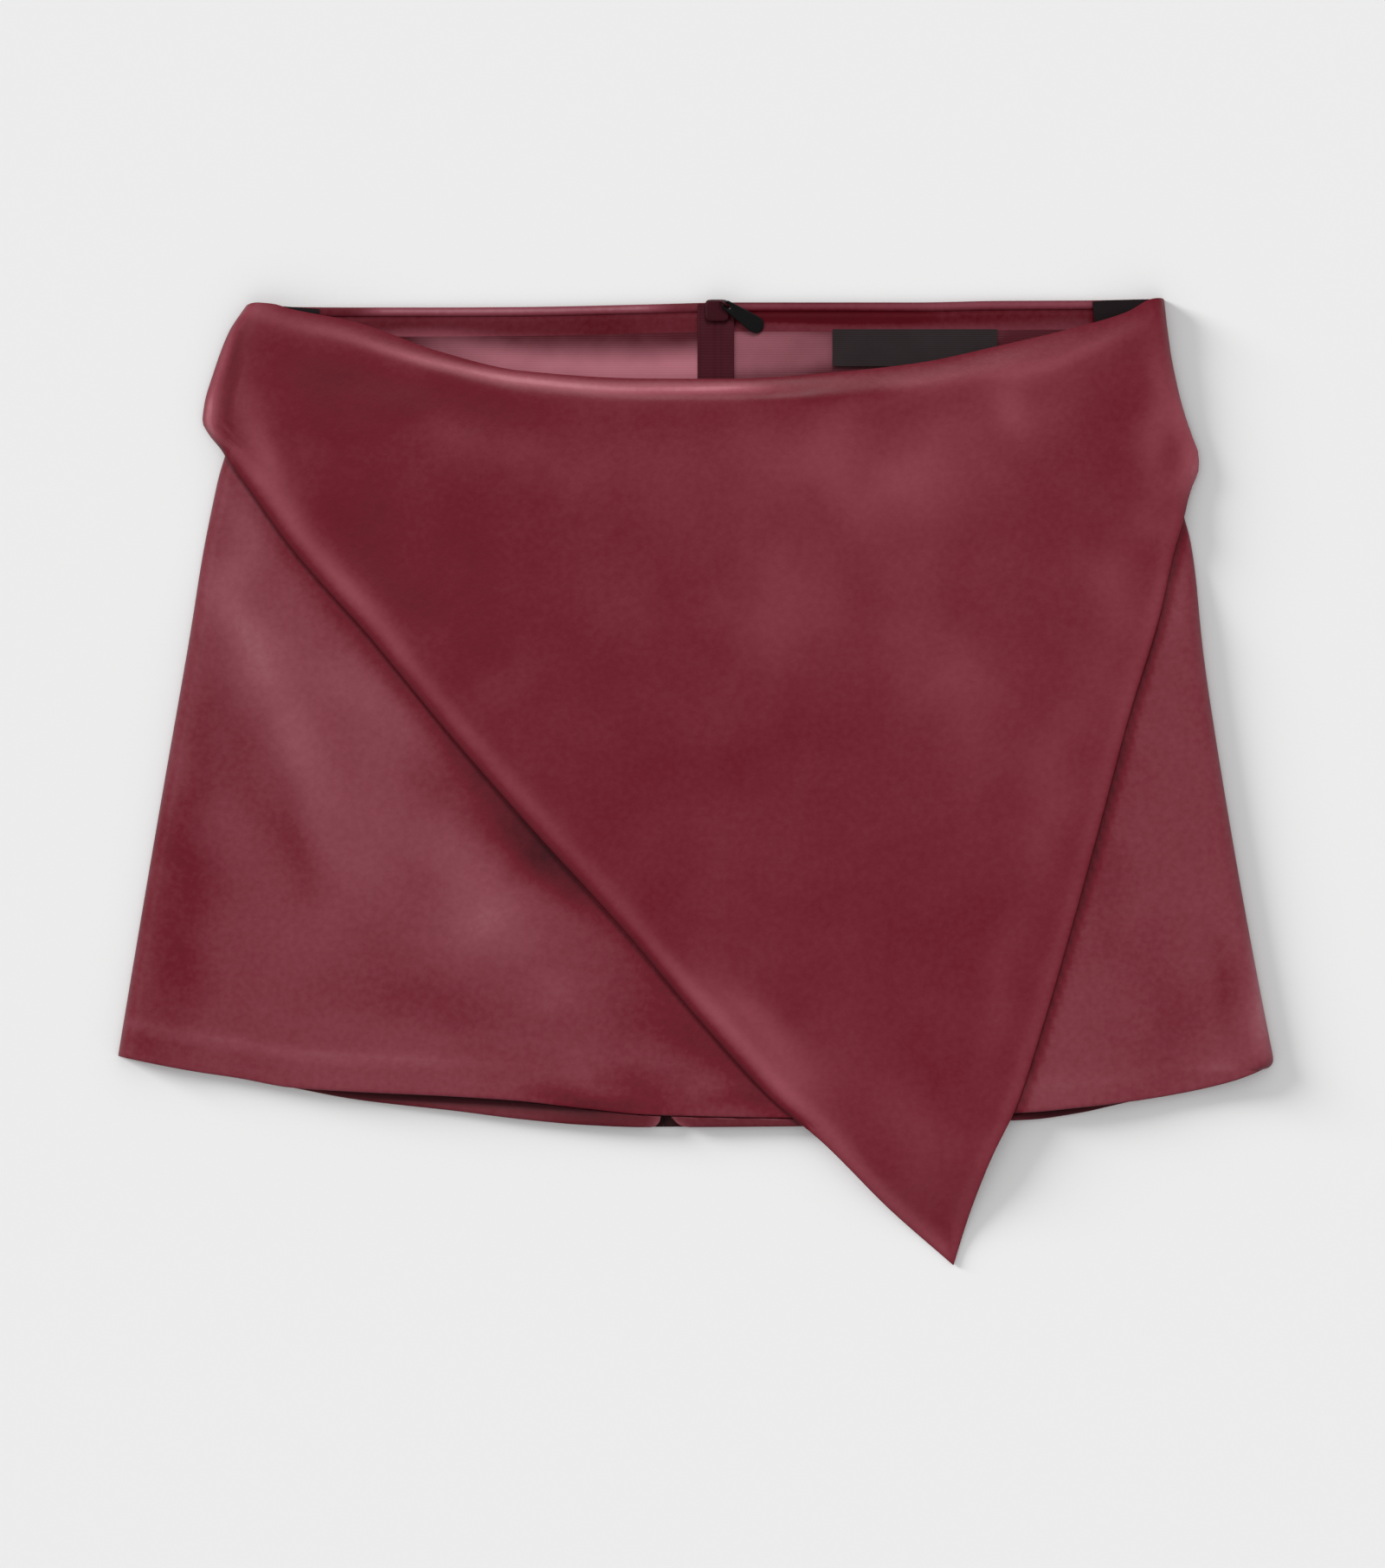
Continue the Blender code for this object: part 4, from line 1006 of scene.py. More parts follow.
def outside_overlay(x, y):
    """1 where the skirt shows, falling to 0 a few millimetres under the overlay."""
    left = ease((left_edge(x) - y) / FADE_UNDER[LEFT] + 1.0)
    right = ease((x - right_edge_x(y)) / FADE_UNDER[RIGHT] + 1.0)
    return np.clip(left + right, 0.0, 1.0)


print(f"the overlay's point is at x {TIP_X} mm, y {float(free_edge(TIP_X)):.0f} mm")

# %% Relief of the skirt
SIDE_PUFF = 2.6
SIDE_PUFF_AT = 9.0  # from the fold
SIDE_PUFF_WIDTH = 13.0
SIDE_PUFF_START = 12.0  # below the overlay's right end
SIDE_PUFF_GROWTH = 40.0
CREASE_LIMIT = 0.9
HEM_TURN = {LEFT: 15.5, RIGHT: 9.5}  # height of the turned-up hem at each fold
HEM_RIDGE = 0.35
HEM_RIDGE_WIDTH = 1.4


def side_puff(x, y):
    """Air beside each fold of the skirt, from none at the hips to all of it 40 mm further down."""
    from_fold = np.minimum(x - skirt_side(LEFT, y), skirt_side(RIGHT, y) - x)
    share = ease((notch_y[RIGHT] - SIDE_PUFF_START - y) / SIDE_PUFF_GROWTH)
    return SIDE_PUFF * share * hump(from_fold - SIDE_PUFF_AT, SIDE_PUFF_WIDTH)


def skirt_creases(x, y):
    """The table's creases, with the deepest troughs levelled off by d tanh(c / d)."""
    crease = bell(x, y, SKIRT_CREASES, "height")
    return np.where(crease < 0, CREASE_LIMIT * np.tanh(crease / CREASE_LIMIT), crease)


def hem_turn(x, y):
    """The turned-up hem lies inside, so the skirt steps up a little below the line where it ends."""
    share = (x - SIDES[LEFT].hem_x) / (SIDES[RIGHT].hem_x - SIDES[LEFT].hem_x)
    line = skirt_hem(x) + mix(HEM_TURN[LEFT], HEM_TURN[RIGHT], share)
    return HEM_RIDGE * (0.5 + 0.5 * np.tanh((line - y) / HEM_RIDGE_WIDTH))


HemGapRow = namedtuple("HemGapRow", "x lift rise")
HEM_GAP = (  # where the skirt's hem stands off the shorts, and where the shorts rise against it
    HemGapRow(x=-165, lift=0.0, rise=0.0),
    HemGapRow(x=-140, lift=0.8, rise=0.0),
    HemGapRow(x=-105, lift=1.0, rise=0.0),
    HemGapRow(x=-70, lift=0.9, rise=0.15),
    HemGapRow(x=-45, lift=0.4, rise=0.6),
    HemGapRow(x=-30, lift=0.15, rise=0.9),
    HemGapRow(x=60, lift=0.0, rise=1.0),
    HemGapRow(x=120, lift=0.3, rise=0.5),
    HemGapRow(x=140, lift=1.0, rise=0.0),
    HemGapRow(x=158, lift=0.8, rise=0.0),
    HemGapRow(x=180, lift=0.0, rise=0.0),
)
HEM_GAP_LIFT = 1.5
HEM_GAP_REACH = 10.0
hem_gap = curve_through(HEM_GAP, "x", "lift")
leg_rise = curve_through(HEM_GAP, "x", "rise")
print("rows of the gap under the hem:", len(HEM_GAP))

# %% Grid of the skirt
FOLD_WIDTH = 6.0  # of the quarter round at the folds of skirt and overlay
SKIRT_INSET = 6.5  # of the skirt's top edge, from the waist edge that lies over it
SKIRT_ACROSS = 170
SKIRT_DOWN = 130
fold_places = roll_places(FOLD_WIDTH)
skirt_columns = 2 * len(fold_places) + SKIRT_ACROSS - 1


def columns_at(side_of, y):
    """x of every column at each y: the fold places from both folds, and an even spread between."""
    left, right = side_of(LEFT, y), side_of(RIGHT, y)
    first, last = len(fold_places), skirt_columns - len(fold_places)
    share = (np.arange(skirt_columns) - first + 1) / SKIRT_ACROSS
    x = mix(left + fold_places[-1], right - fold_places[-1], share)
    x[:, :first] = left[:, :first] + fold_places
    x[:, last:] = right[:, last:] - fold_places[::-1]
    return x


def row_at(y):
    """x of every column along one straight row."""
    return columns_at(skirt_side, np.full((1, skirt_columns), y))[0]


skirt_top = front_waist(row_at(WAIST_Y)) - SKIRT_INSET
skirt_bottom = skirt_hem(row_at(HEM_Y))
upper_rows = mix(skirt_top, skirt_bottom + EDGE_PLACES[0], np.linspace(0.0, 1.0, SKIRT_DOWN)[:, None])
skirt_y = np.concatenate([upper_rows, skirt_bottom + EDGE_PLACES[1:, None]])
skirt_x = columns_at(skirt_side, skirt_y)
print("skirt grid:", *skirt_x.shape)

# %% Height of the skirt
SKIRT_TOP_DROP = 1.0
SKIRT_TOP_REACH = 4.5
hem_distance = skirt_y - skirt_y[-1]
relief = skirt_creases(skirt_x, skirt_y) + hem_turn(skirt_x, skirt_y)
level = front_level(skirt_x, skirt_y) + LAYER + SLACK + LEATHER + side_puff(skirt_x, skirt_y)
level += relief * outside_overlay(skirt_x, skirt_y)
level += HEM_GAP_LIFT * hem_gap(skirt_x) * hump(hem_distance, HEM_GAP_REACH)
level -= SKIRT_TOP_DROP * (1 - ease((skirt_y[0] - skirt_y) / SKIRT_TOP_REACH))
skirt_z = folded(level, skirt_x, skirt_y, skirt_side, {LEFT: FOLD_WIDTH, RIGHT: FOLD_WIDTH})
print(f"the skirt is {skirt_z.max():.1f} mm over the table at its highest")

# %% Bloom and painted light of the skirt
SKIRT_DUST = 0.40  # bloom all over
TURN_LIGHT = 0.28  # painted highlight on the ridge over the end of the turned-up hem, on the left
TURN_LIGHT_AT = 13.0
TURN_LIGHT_WIDTH = 2.5
TURN_LIGHT_X = -60.0
TURN_LIGHT_FADE = 60.0
SQUARE_TO_LEFT = 0.66  # a distance along y, times this, is the distance square to the slanting edge
SQUARE_TO_RIGHT = 0.96  # and the same for a distance along x from the right edge
SHADE_AT = 2.0
CRACK_SHADE = 0.80  # painted shade in the crack beside the overlay's right edge
CRACK_AT = 1.2
CRACK_WIDTH = 2.2
past_left = (left_edge(skirt_x) - skirt_y) * SQUARE_TO_LEFT
past_right = (skirt_x - right_edge_x(skirt_y)) * SQUARE_TO_RIGHT
# the skirt's bloom with painted sheen and shade from the rows, a painted highlight on the hem ridge, and
# painted shade beside the overlay's slanting and right edges
skirt_bloom_and_painted_light = SKIRT_DUST + bell(skirt_x, skirt_y, SKIRT_BLOOM_AND_PAINTED_LIGHT, "amount")
turn_share = ease((TURN_LIGHT_X - skirt_x) / TURN_LIGHT_FADE)
skirt_bloom_and_painted_light += TURN_LIGHT * hump(hem_distance - TURN_LIGHT_AT, TURN_LIGHT_WIDTH) * turn_share
skirt_bloom_and_painted_light -= edge_shade(skirt_y) * hump(past_left - SHADE_AT, edge_reach(skirt_y))
skirt_bloom_and_painted_light -= CRACK_SHADE * hump(past_right - CRACK_AT, CRACK_WIDTH)
skirt = cloth(
    "skirt_front_cloth",
    np.stack([skirt_x, skirt_y, skirt_z], axis=-1),
    LEATHER,
    skirt_burgundy,
    shoulder=edge_shoulder(hem_distance),
    bloom_and_painted_light=skirt_bloom_and_painted_light,
)

# %% [markdown]
# ## Overlay
#
# The overlay hangs from the waist seam and ends in a slanting free edge with one sharp point. A grid of
# rows and columns can follow that if each column runs from its place on the waist to its place on the
# free edge, like the folds of a fan. The waist edge is a rolled, turned edge with a crest just inside
# it, and a highlight is painted along a line in front of the crest. At the hips the columns follow the
# bulge of the loose cloth, less and less towards the middle.

# %% Rolled waist edge
RIM_RISE = 9.5
RIM_LOW = 8.4
RIM_CREST = 0.25
RIM_CREST_INSIDE = 4.5  # from the line of painted highlight to the crest behind it
RIM_CREST_WIDTH = 4.2
RIM_DIP = 0.12
RIM_DIP_INSIDE = 15.0
RIM_DIP_WIDTH = 7.0
RimRow = namedtuple("RimRow", "x y width gloss")
RIM = (  # the line of painted highlight along the rolled edge
    RimRow(x=-177, y=185.6, width=3.2, gloss=0.34),
    RimRow(x=-158, y=180.4, width=3.4, gloss=0.38),
    RimRow(x=-138, y=175.4, width=2.8, gloss=0.55),
    RimRow(x=-121, y=169.6, width=2.3, gloss=0.85),
    RimRow(x=-104, y=165.0, width=2.1, gloss=1.10),
    RimRow(x=-69, y=158.0, width=2.4, gloss=1.38),
    RimRow(x=-22, y=154.3, width=2.3, gloss=1.15),
    RimRow(x=8, y=154.6, width=1.9, gloss=1.30),
    RimRow(x=17, y=154.9, width=1.9, gloss=1.15),
    RimRow(x=33, y=154.9, width=1.8, gloss=0.26),
    RimRow(x=67, y=155.9, width=2.0, gloss=0.02),
    RimRow(x=88, y=157.0, width=3.0, gloss=0.34),
    RimRow(x=111, y=160.6, width=3.8, gloss=0.32),
    RimRow(x=135, y=163.6, width=4.2, gloss=0.36),
    RimRow(x=156, y=171.2, width=2.8, gloss=0.34),
    RimRow(x=169, y=177.4, width=3.0, gloss=0.16),
    RimRow(x=184, y=186.0, width=4.0, gloss=0.0),
)
rim_line = curve_through(RIM, "x", "y")
rim_width = curve_through(RIM, "x", "width")
rim_highlight = curve_through(RIM, "x", "gloss")
print("rim rows:", len(RIM))

# %% Both ends of the overlay's columns
OVERLAY_COLUMNS = {LEFT: 110, RIGHT: 66}
EDGE_SAMPLES = 1200
TOP_CORNER = {LEFT: 1.6, RIGHT: 1.0}
TOP_CORNER_WIDTH = 5.5
notch_x = {LEFT: LEFT_EDGE[0].x, RIGHT: RIGHT_EDGE[-1].x}
corner_x = {side: float(overlay_side(side, np.array(WAIST_Y))) for side in (LEFT, RIGHT)}
tip_share = OVERLAY_COLUMNS[LEFT] / (OVERLAY_COLUMNS[LEFT] + OVERLAY_COLUMNS[RIGHT])
tip_top = mix(corner_x[LEFT], corner_x[RIGHT], tip_share)


def walk(first_x, last_x, count):
    """count places at even lengths along the free edge, after first_x and up to last_x."""
    xs = np.linspace(first_x, last_x, EDGE_SAMPLES)
    lengths = np.concatenate([[0.0], np.cumsum(np.hypot(np.diff(xs), np.diff(free_edge(xs))))])
    return np.interp(spaced(0.0, lengths[-1], count), lengths, xs)


def fan(ends, tip, spread):
    """Places of all columns: the fold places at both ends, and a spread to and from the tip's column."""
    near, far = ends[LEFT] + fold_places, ends[RIGHT] - fold_places
    return np.concatenate([
        near,
        spread(near[-1], tip, OVERLAY_COLUMNS[LEFT]),
        spread(tip, far[-1], OVERLAY_COLUMNS[RIGHT]),
        far[-2::-1],
    ])


tops = fan(corner_x, tip_top, spaced)
bottoms = fan(notch_x, TIP_X, walk)
top_y, bottom_y = front_waist(tops), free_edge(bottoms)
for side in (LEFT, RIGHT):
    from_corner = side * (corner_x[side] - tops)
    top_y -= TOP_CORNER[side] * (1 - quarter_roll(from_corner, TOP_CORNER_WIDTH))
print("overlay columns:", len(tops))

# %% Rows of the overlay
STEEP_SHARE = 0.22  # least share of a column's length that counts as distance from the edge
OVERLAY_DOWN = 112
RIM_PLACES = np.array([0.0, 0.1, 0.3, 0.6, 1.0, 1.5, 2.1, 2.8, 3.6, 4.5, 5.4, 6.4, 7.5, 8.6, 9.8, 11.0])
slope = np.gradient(bottom_y, bottoms)
run = np.stack([bottoms - tops, bottom_y - top_y])
edge_normal = np.stack([slope, -np.ones_like(slope)]) / np.hypot(slope, 1.0)
away_from_edge = np.abs((run * edge_normal).sum(axis=0))  # of the waist end, from the edge's line
away_from_edge = np.maximum(away_from_edge, STEEP_SHARE * np.hypot(*run))
rim_rows = RIM_PLACES[:, None] / (top_y - bottom_y)
edge_rows = 1.0 - EDGE_PLACES[:, None] / away_from_edge
body_rows = mix(rim_rows[-1], edge_rows[0], spaced(0.0, 1.0, OVERLAY_DOWN)[:, None])
rows_down = np.concatenate([rim_rows, body_rows, edge_rows[1:]])
overlay_y = mix(top_y, bottom_y, rows_down)
overlay_x = mix(tops, bottoms, rows_down)
print("overlay grid:", *overlay_x.shape)

# %% Loose cloth at the hips
BULGE_REACH = 60.0
for side in (LEFT, RIGHT):
    notch_fold_x = float(overlay_side(side, np.array(notch_y[side])))
    t = (WAIST_Y - overlay_y) / (WAIST_Y - notch_y[side])
    from_corner = side * (corner_x[side] - tops)
    fade = np.maximum(1 - np.maximum(from_corner - fold_places[-1], 0.0) / BULGE_REACH, 0.0) ** 2
    follow = overlay_side(side, overlay_y) - mix(corner_x[side], notch_fold_x, t)
    overlay_x += np.where(t > 1, 0.0, follow * fade)
    print(f"the bulge on this side is {float(bulge[side](overlay_y).max()):.1f} mm")

# %% Height of the overlay
EDGE_PUFF = 1.2
EDGE_PUFF_REACH = 45.0
EDGE_RISE = 0.3
EDGE_RISE_REACH = 14.0
EDGE_LIFT = 1.1
LIFT_CENTRE = (-50.0, -32.0)
LIFT_REACH = 62.0
TIP_BRIDGE = 13.0  # past the legs' hem, where the point begins to come down
TIP_FALL = 40.0
CREASE_FREE = 12.0  # from the free edge, where creases have their full height
edge_distance = (1.0 - rows_down) * away_from_edge
from_rim = top_y - overlay_y
from_line = rim_line(overlay_x) - overlay_y
from_skirt_hem = overlay_y - skirt_hem(overlay_x)
from_lift = np.hypot(overlay_x - LIFT_CENTRE[0], overlay_y - LIFT_CENTRE[1])
over_skirt = front_level(overlay_x, overlay_y) + 2 * (LAYER + SLACK) + LEATHER
over_skirt += EDGE_PUFF * ease(edge_distance / EDGE_PUFF_REACH) + side_puff(overlay_x, overlay_y)
over_skirt += EDGE_RISE * hump(edge_distance, EDGE_RISE_REACH)
over_skirt += HEM_GAP_LIFT * hem_gap(overlay_x) * hump(from_skirt_hem, HEM_GAP_REACH)
over_skirt += EDGE_LIFT * hump(from_lift, LIFT_REACH)
past_hem = (legs_hem(overlay_x) - TIP_BRIDGE - overlay_y) / TIP_FALL
height = mix(over_skirt, LEATHER + GAP, ease(past_hem))
height += RIM_CREST * hump(from_line - RIM_CREST_INSIDE, RIM_CREST_WIDTH)
height -= RIM_DIP * hump(from_line - RIM_DIP_INSIDE, RIM_DIP_WIDTH)
height += bell(overlay_x, overlay_y, OVERLAY_CREASES, "height") * ease(edge_distance / CREASE_FREE)
print(f"the overlay is {height.max():.1f} mm over the table at its highest")

# %% Folds of the overlay
HIP_GROOVE = 0.8  # where the loose cloth passes over the skirt's fold
HIP_GROOVE_WIDTH = 2.4
HIP_LOOSE = 4.0  # bulge at which the groove has its full depth
overlay_roll = {}
for side in (LEFT, RIGHT):
    beyond = side * (overlay_x - skirt_side(side, overlay_y))
    above_notch = overlay_y > notch_y[side]
    loose = ease(bulge[side](overlay_y) / HIP_LOOSE) * above_notch
    height -= HIP_GROOVE * loose * hump(beyond, HIP_GROOVE_WIDTH)
    overlay_roll[side] = FOLD_WIDTH + bulge[side](overlay_y) * above_notch
rolled = mix(RIM_LOW, height, ease(from_rim / RIM_RISE))
overlay_z = folded(rolled, overlay_x, overlay_y, overlay_side, overlay_roll)
print(f"and its rim {overlay_z[0].max():.1f} mm")

# %% Bloom and painted light of the overlay
OVERLAY_DUST = 0.08  # bloom all over
RIM_EDGE_SHADE = 0.08  # painted shade at the very edge of the rim
RIM_EDGE_SHADE_WIDTH = 2.0
# painted highlight a little behind the rim's line, over the crest
CREST_LIGHT = 0.08
CREST_LIGHT_AT = 6.5
CREST_LIGHT_WIDTH = 4.0
EDGE_HIGHLIGHT_WIDTH = 3.4  # of the painted highlight on the turned edge inside the slanting edge
RIGHT_EDGE_HIGHLIGHT = 0.22  # a painted highlight inside the right edge
RIGHT_EDGE_HIGHLIGHT_AT = 2.5
RIGHT_EDGE_HIGHLIGHT_WIDTH = 3.5
OVERLAY_EDGE_SHADE = (0.60, 0.42)  # painted shade at the slanting edge, near the point and further up
OVERLAY_EDGE_SHADE_Y = -90.0
OVERLAY_EDGE_SHADE_CHANGE = 60.0
OVERLAY_EDGE_SHADE_RIGHT = 0.12
OVERLAY_EDGE_SHADE_WIDTH = 2.8
FOLD_LIGHT = {LEFT: 0.75, RIGHT: 0.70}  # painted highlight along the folds at the hips
FOLD_LIGHT_AT = {LEFT: 2.4, RIGHT: 0.0}
FOLD_LIGHT_WIDTH = {LEFT: 2.0, RIGHT: 8.0}
FOLD_LIGHT_BULGE = {LEFT: 8.0, RIGHT: 5.0}  # bulge at which it has its full strength
on_left = bottoms < TIP_X
# the overlay's bloom with painted sheen and shade from the rows, painted highlights along the rim,
# inside the free edges and on the hip folds, and painted shade at the edges
overlay_bloom_and_painted_light = OVERLAY_DUST + bell(overlay_x, overlay_y, OVERLAY_BLOOM_AND_PAINTED_LIGHT, "amount")
overlay_bloom_and_painted_light -= RIM_EDGE_SHADE * hump(from_rim, RIM_EDGE_SHADE_WIDTH)
# painted highlight along the rim's line
overlay_bloom_and_painted_light += rim_highlight(overlay_x) * hump(from_line, rim_width(overlay_x))
overlay_bloom_and_painted_light += CREST_LIGHT * hump(from_line - CREST_LIGHT_AT, CREST_LIGHT_WIDTH)
# painted highlight on the turned edge inside both free edges
edge_highlight = edge_light(overlay_y) * hump(edge_distance - edge_inside(overlay_y), EDGE_HIGHLIGHT_WIDTH)
right_edge_highlight = RIGHT_EDGE_HIGHLIGHT * hump(edge_distance - RIGHT_EDGE_HIGHLIGHT_AT, RIGHT_EDGE_HIGHLIGHT_WIDTH)
overlay_bloom_and_painted_light += np.where(on_left, edge_highlight, right_edge_highlight)
further_up = ease((overlay_y - OVERLAY_EDGE_SHADE_Y) / OVERLAY_EDGE_SHADE_CHANGE)
# painted shade along both free edges, down to the legs' hem
overlay_edge_shade = np.where(on_left, mix(*OVERLAY_EDGE_SHADE, further_up), OVERLAY_EDGE_SHADE_RIGHT)
overlay_bloom_and_painted_light -= overlay_edge_shade * hump(edge_distance, OVERLAY_EDGE_SHADE_WIDTH) * (overlay_y > legs_hem(overlay_x))
for side in (LEFT, RIGHT):
    inside_fold = side * (overlay_side(side, overlay_y) - overlay_x) - FOLD_LIGHT_AT[side]
    loose = ease(bulge[side](overlay_y) / FOLD_LIGHT_BULGE[side])
    overlay_bloom_and_painted_light += FOLD_LIGHT[side] * hump(inside_fold, FOLD_LIGHT_WIDTH[side]) * loose
overlay = cloth(
    "overlay_cloth",
    np.stack([overlay_x, overlay_y, overlay_z], axis=-1),
    LEATHER,
    burgundy,
    shoulder=edge_shoulder(edge_distance),
    bloom_and_painted_light=overlay_bloom_and_painted_light,
)

# %% [markdown]
# ## Shorts
#
# Each leg is a front and a back panel, sewn at the centre seam down to the crotch and apart below it.
# Almost all of them is hidden: a strip of the front legs shows below the skirt's hem, and the split
# between the legs as a small notch, dark with painted shade on the backs. The panels are mixed between
# the fold and the inner edge, column by column. The backs reach the fold of the skirt, where the side
# seam closes them. Where the skirt lies shut on the strip, the strip rises against its hem, with a
# little painted shade. Where the hem stands off, the strip dips into a gap with painted shade in it. The
# inner corners of the legs are paler.

# %% Outline of a leg
CROTCH_Y = -88.0
SPLIT_WIDTH = {"front": 3.0, "back": 0.0}
SPLIT_OPENS = 40.0
INSEAM_CORNER = {LEFT: 3.5, RIGHT: 9.0}
BACK_INSET = 3.4
LEG_INSET = 10.0
FRONT_FOLD_CLEAR = 7.7
LEG_DROP = 18.0  # below the skirt's side corner, where the leg's hem is read
LEG_COLUMNS, LEG_ROWS = 90, 104
# Distances of the last rows from the hem: every 0.45 mm where the strip comes out from the skirt.
LEG_PLACES = np.concatenate([[14.0, 12.0, 10.0, 9.0], np.arange(8.2, 2.6, -0.45), EDGE_PLACES[8:]])


def inner_edge(side, y, face):
    """A leg's inner edge: the seam, the split below the crotch, and the round corner at its hem."""
    split = ease((CROTCH_Y - y) / SPLIT_OPENS) * SPLIT_WIDTH[face]
    x = seam_x(y) + side * (SEAM_GAP / 2 + split / 2)
    if face == "front":
        corner = INSEAM_CORNER[side]
        inside = np.maximum(corner - np.maximum(y - legs_hem(x), 0.0), 0.0)
        x = x + side * (corner - np.sqrt(corner**2 - inside**2))
    return x


def leg_grid(side, face, top, outer_inset):
    """x and y of one leg panel, mixed between its outer and inner edge, and each point's height up."""
    share = np.linspace(0.0, 1.0, LEG_COLUMNS)

    def across(y):
        outer = skirt_side(side, y) - side * outer_inset
        inner = inner_edge(side, y, face)
        return mix(outer, inner, share) if side == LEFT else mix(inner, outer, share)

    start = top(across(np.full(LEG_COLUMNS, WAIST_Y - outer_inset)))
    end = legs_hem(across(np.full(LEG_COLUMNS, HEM_Y - LEG_DROP)))
    upper = mix(start, end + LEG_PLACES[0], np.linspace(0.0, 1.0, LEG_ROWS)[:, None])
    y = np.concatenate([upper, end + LEG_PLACES[1:, None]])
    return across(y), y, y - end


print("leg grid:", LEG_ROWS + len(LEG_PLACES) - 1, LEG_COLUMNS)

# %% Panels of the shorts
BACK_SHOULDER = 0.35
BACK_DUST = 0.3  # bloom of the backs, and below, how much painted shade darkens them in the split
SPLIT_SHADE = 1.3
SPLIT_SHADE_REACH = 14.0
LEG_RISE = 1.5
RISE_BEGINS = 0.05  # above the skirt's hem, and over how far the leg rises
RISE_OVER = 0.5
CREASE_ROOM = 0.3  # how deep a crease of the skirt goes before the leg under it gives way
LEG_DIP = 1.0
LEG_DUST = 0.38
# painted shade in the gap under the skirt's hem, and a little where the strip rises against it
GAP_SHADE = 1.05
GAP_SHADE_AT = 0.6
GAP_SHADE_WIDTH = 3.4
RISE_SHADE = 0.2
# paler inner corners of the legs at the hem
CORNER_PALE = 0.9
CORNER_PALE_WIDTH = 2.4
CORNER_PALE_HEIGHT = 5.0
STRIP_X = -40.0  # middle of the shaded part of the left leg's hem
STRIP_REACH = 16.0
STRIP_SHADE = 0.34


def leg_front_top(x):
    """Top of the front legs, under the overlay."""
    return front_waist(x) - LEG_INSET


legs = {}
for side, word in ((LEFT, "left"), (RIGHT, "right")):
    x, y, up = leg_grid(side, "back", back_waist, BACK_INSET)
    seam_away = np.abs(x - seam_x(y))
    # painted shade on the backs where they show through the split
    split_shade_mask = hump(seam_away, SPLIT_SHADE_REACH) * hump(up, SPLIT_SHADE_REACH)
    legs[f"back_{word}"] = cloth(
        f"back_{word}_cloth",
        np.stack([x, y, np.full_like(x, LEATHER)], axis=-1),
        LEATHER,
        shorts_burgundy,
        shoulder=edge_shoulder(np.minimum(up, seam_away), BACK_SHOULDER),
        bloom_and_painted_light=BACK_DUST - SPLIT_SHADE * split_shade_mask,
    )
    x, y, up = leg_grid(side, "front", leg_front_top, FRONT_FOLD_CLEAR)
    from_hem = skirt_hem(x) - y  # of the skirt, which lies over it
    crevice = hem_gap(x) * hump(from_hem - GAP_SHADE_AT, GAP_SHADE_WIDTH)
    rise = leg_rise(x) * ease((from_hem + RISE_BEGINS) / RISE_OVER)
    under_crease = np.minimum(skirt_creases(x, y) * outside_overlay(x, y) + CREASE_ROOM, 0.0)
    z = front_level(x, y) + LEATHER + under_crease - LEG_DIP * crevice + LEG_RISE * rise
    pale_corner = hump(x - inner_edge(side, y, "front"), CORNER_PALE_WIDTH) * hump(up, CORNER_PALE_HEIGHT)
    leg_tone_and_painted_shade = LEG_DUST - GAP_SHADE * crevice - RISE_SHADE * rise + CORNER_PALE * pale_corner
    legs[f"leg_front_{word}"] = cloth(
        f"leg_front_{word}_cloth",
        np.stack([x, y, z], axis=-1),
        LEATHER,
        shorts_burgundy,
        shoulder=edge_shoulder(up),
        bloom_and_painted_light=leg_tone_and_painted_shade - STRIP_SHADE * hump(x - STRIP_X, STRIP_REACH),
    )

# %% [markdown]
# ## Inside of the back waist
#
# The front waist edge dips, so the inside of the back shows above it: a narrow band of the leather,
# whose top edge is rolled over the waist seam into a cord-like rim, and the satin facing below it.
# The band is a profile carried along the waist: half a round for the rim, a small groove where it is
# stitched down, then flat. The satin lies a little loose, so it has shallow waves. Painted light on it
# is strongest in the middle of its left half and fades to its ends, so one table holds, along the waist,
# the depth at which the painted light begins, how far it takes, and how strong it becomes. The rim has a
# painted highlight too, except at the left end and next to the zip, and there is painted shade in the
# band's right corner and on the satin under the front waist edge.

# %% Form of the band and facing
RIM_WIDTH = 3.8
RIM_HEIGHT = 0.45
RIM_TURN = 0.6  # how far the rim's own edge is turned down
GROOVE = 0.25
GROOVE_AT = 0.5  # past the rim
GROOVE_WIDTH = 0.9
GROOVE_FROM = 0.9  # share of the rim's width at which the groove begins
SATIN_WAVE = 0.22
SATIN_LONG = 7.3  # mm for each radian of the waves along the waist
SATIN_SHORT = 4.1
SATIN_LEAN = 16.0
SATIN_FREE = 12.0  # below the band, where the waves have their full height
BAND_WALL = 0.9
SATIN_WALL = 0.8
CORNER_CLEAR = {LEFT: 9.0, RIGHT: 4.5}
half_rim = roll_places(RIM_WIDTH / 2, 7)
BAND_PROFILE = np.concatenate([half_rim, RIM_WIDTH - half_rim[-2::-1]])


def waist_strip(side, depths, heights, columns=90):
    """A strip inside the back waist, at these depths below its edge and heights over the table."""
    near = WAIST_Y - depths
    outer = skirt_side(side, near) - side * CORNER_CLEAR[side]
    inner = seam_x(near) + side * SEAM_GAP / 2
    ends = (outer, inner) if side == LEFT else (inner, outer)
    x = mix(ends[0][:, None], ends[1][:, None], np.linspace(0.0, 1.0, columns))
    y = back_waist(x) - depths[:, None]
    return x, y, heights(x, depths[:, None]) + np.zeros_like(x)


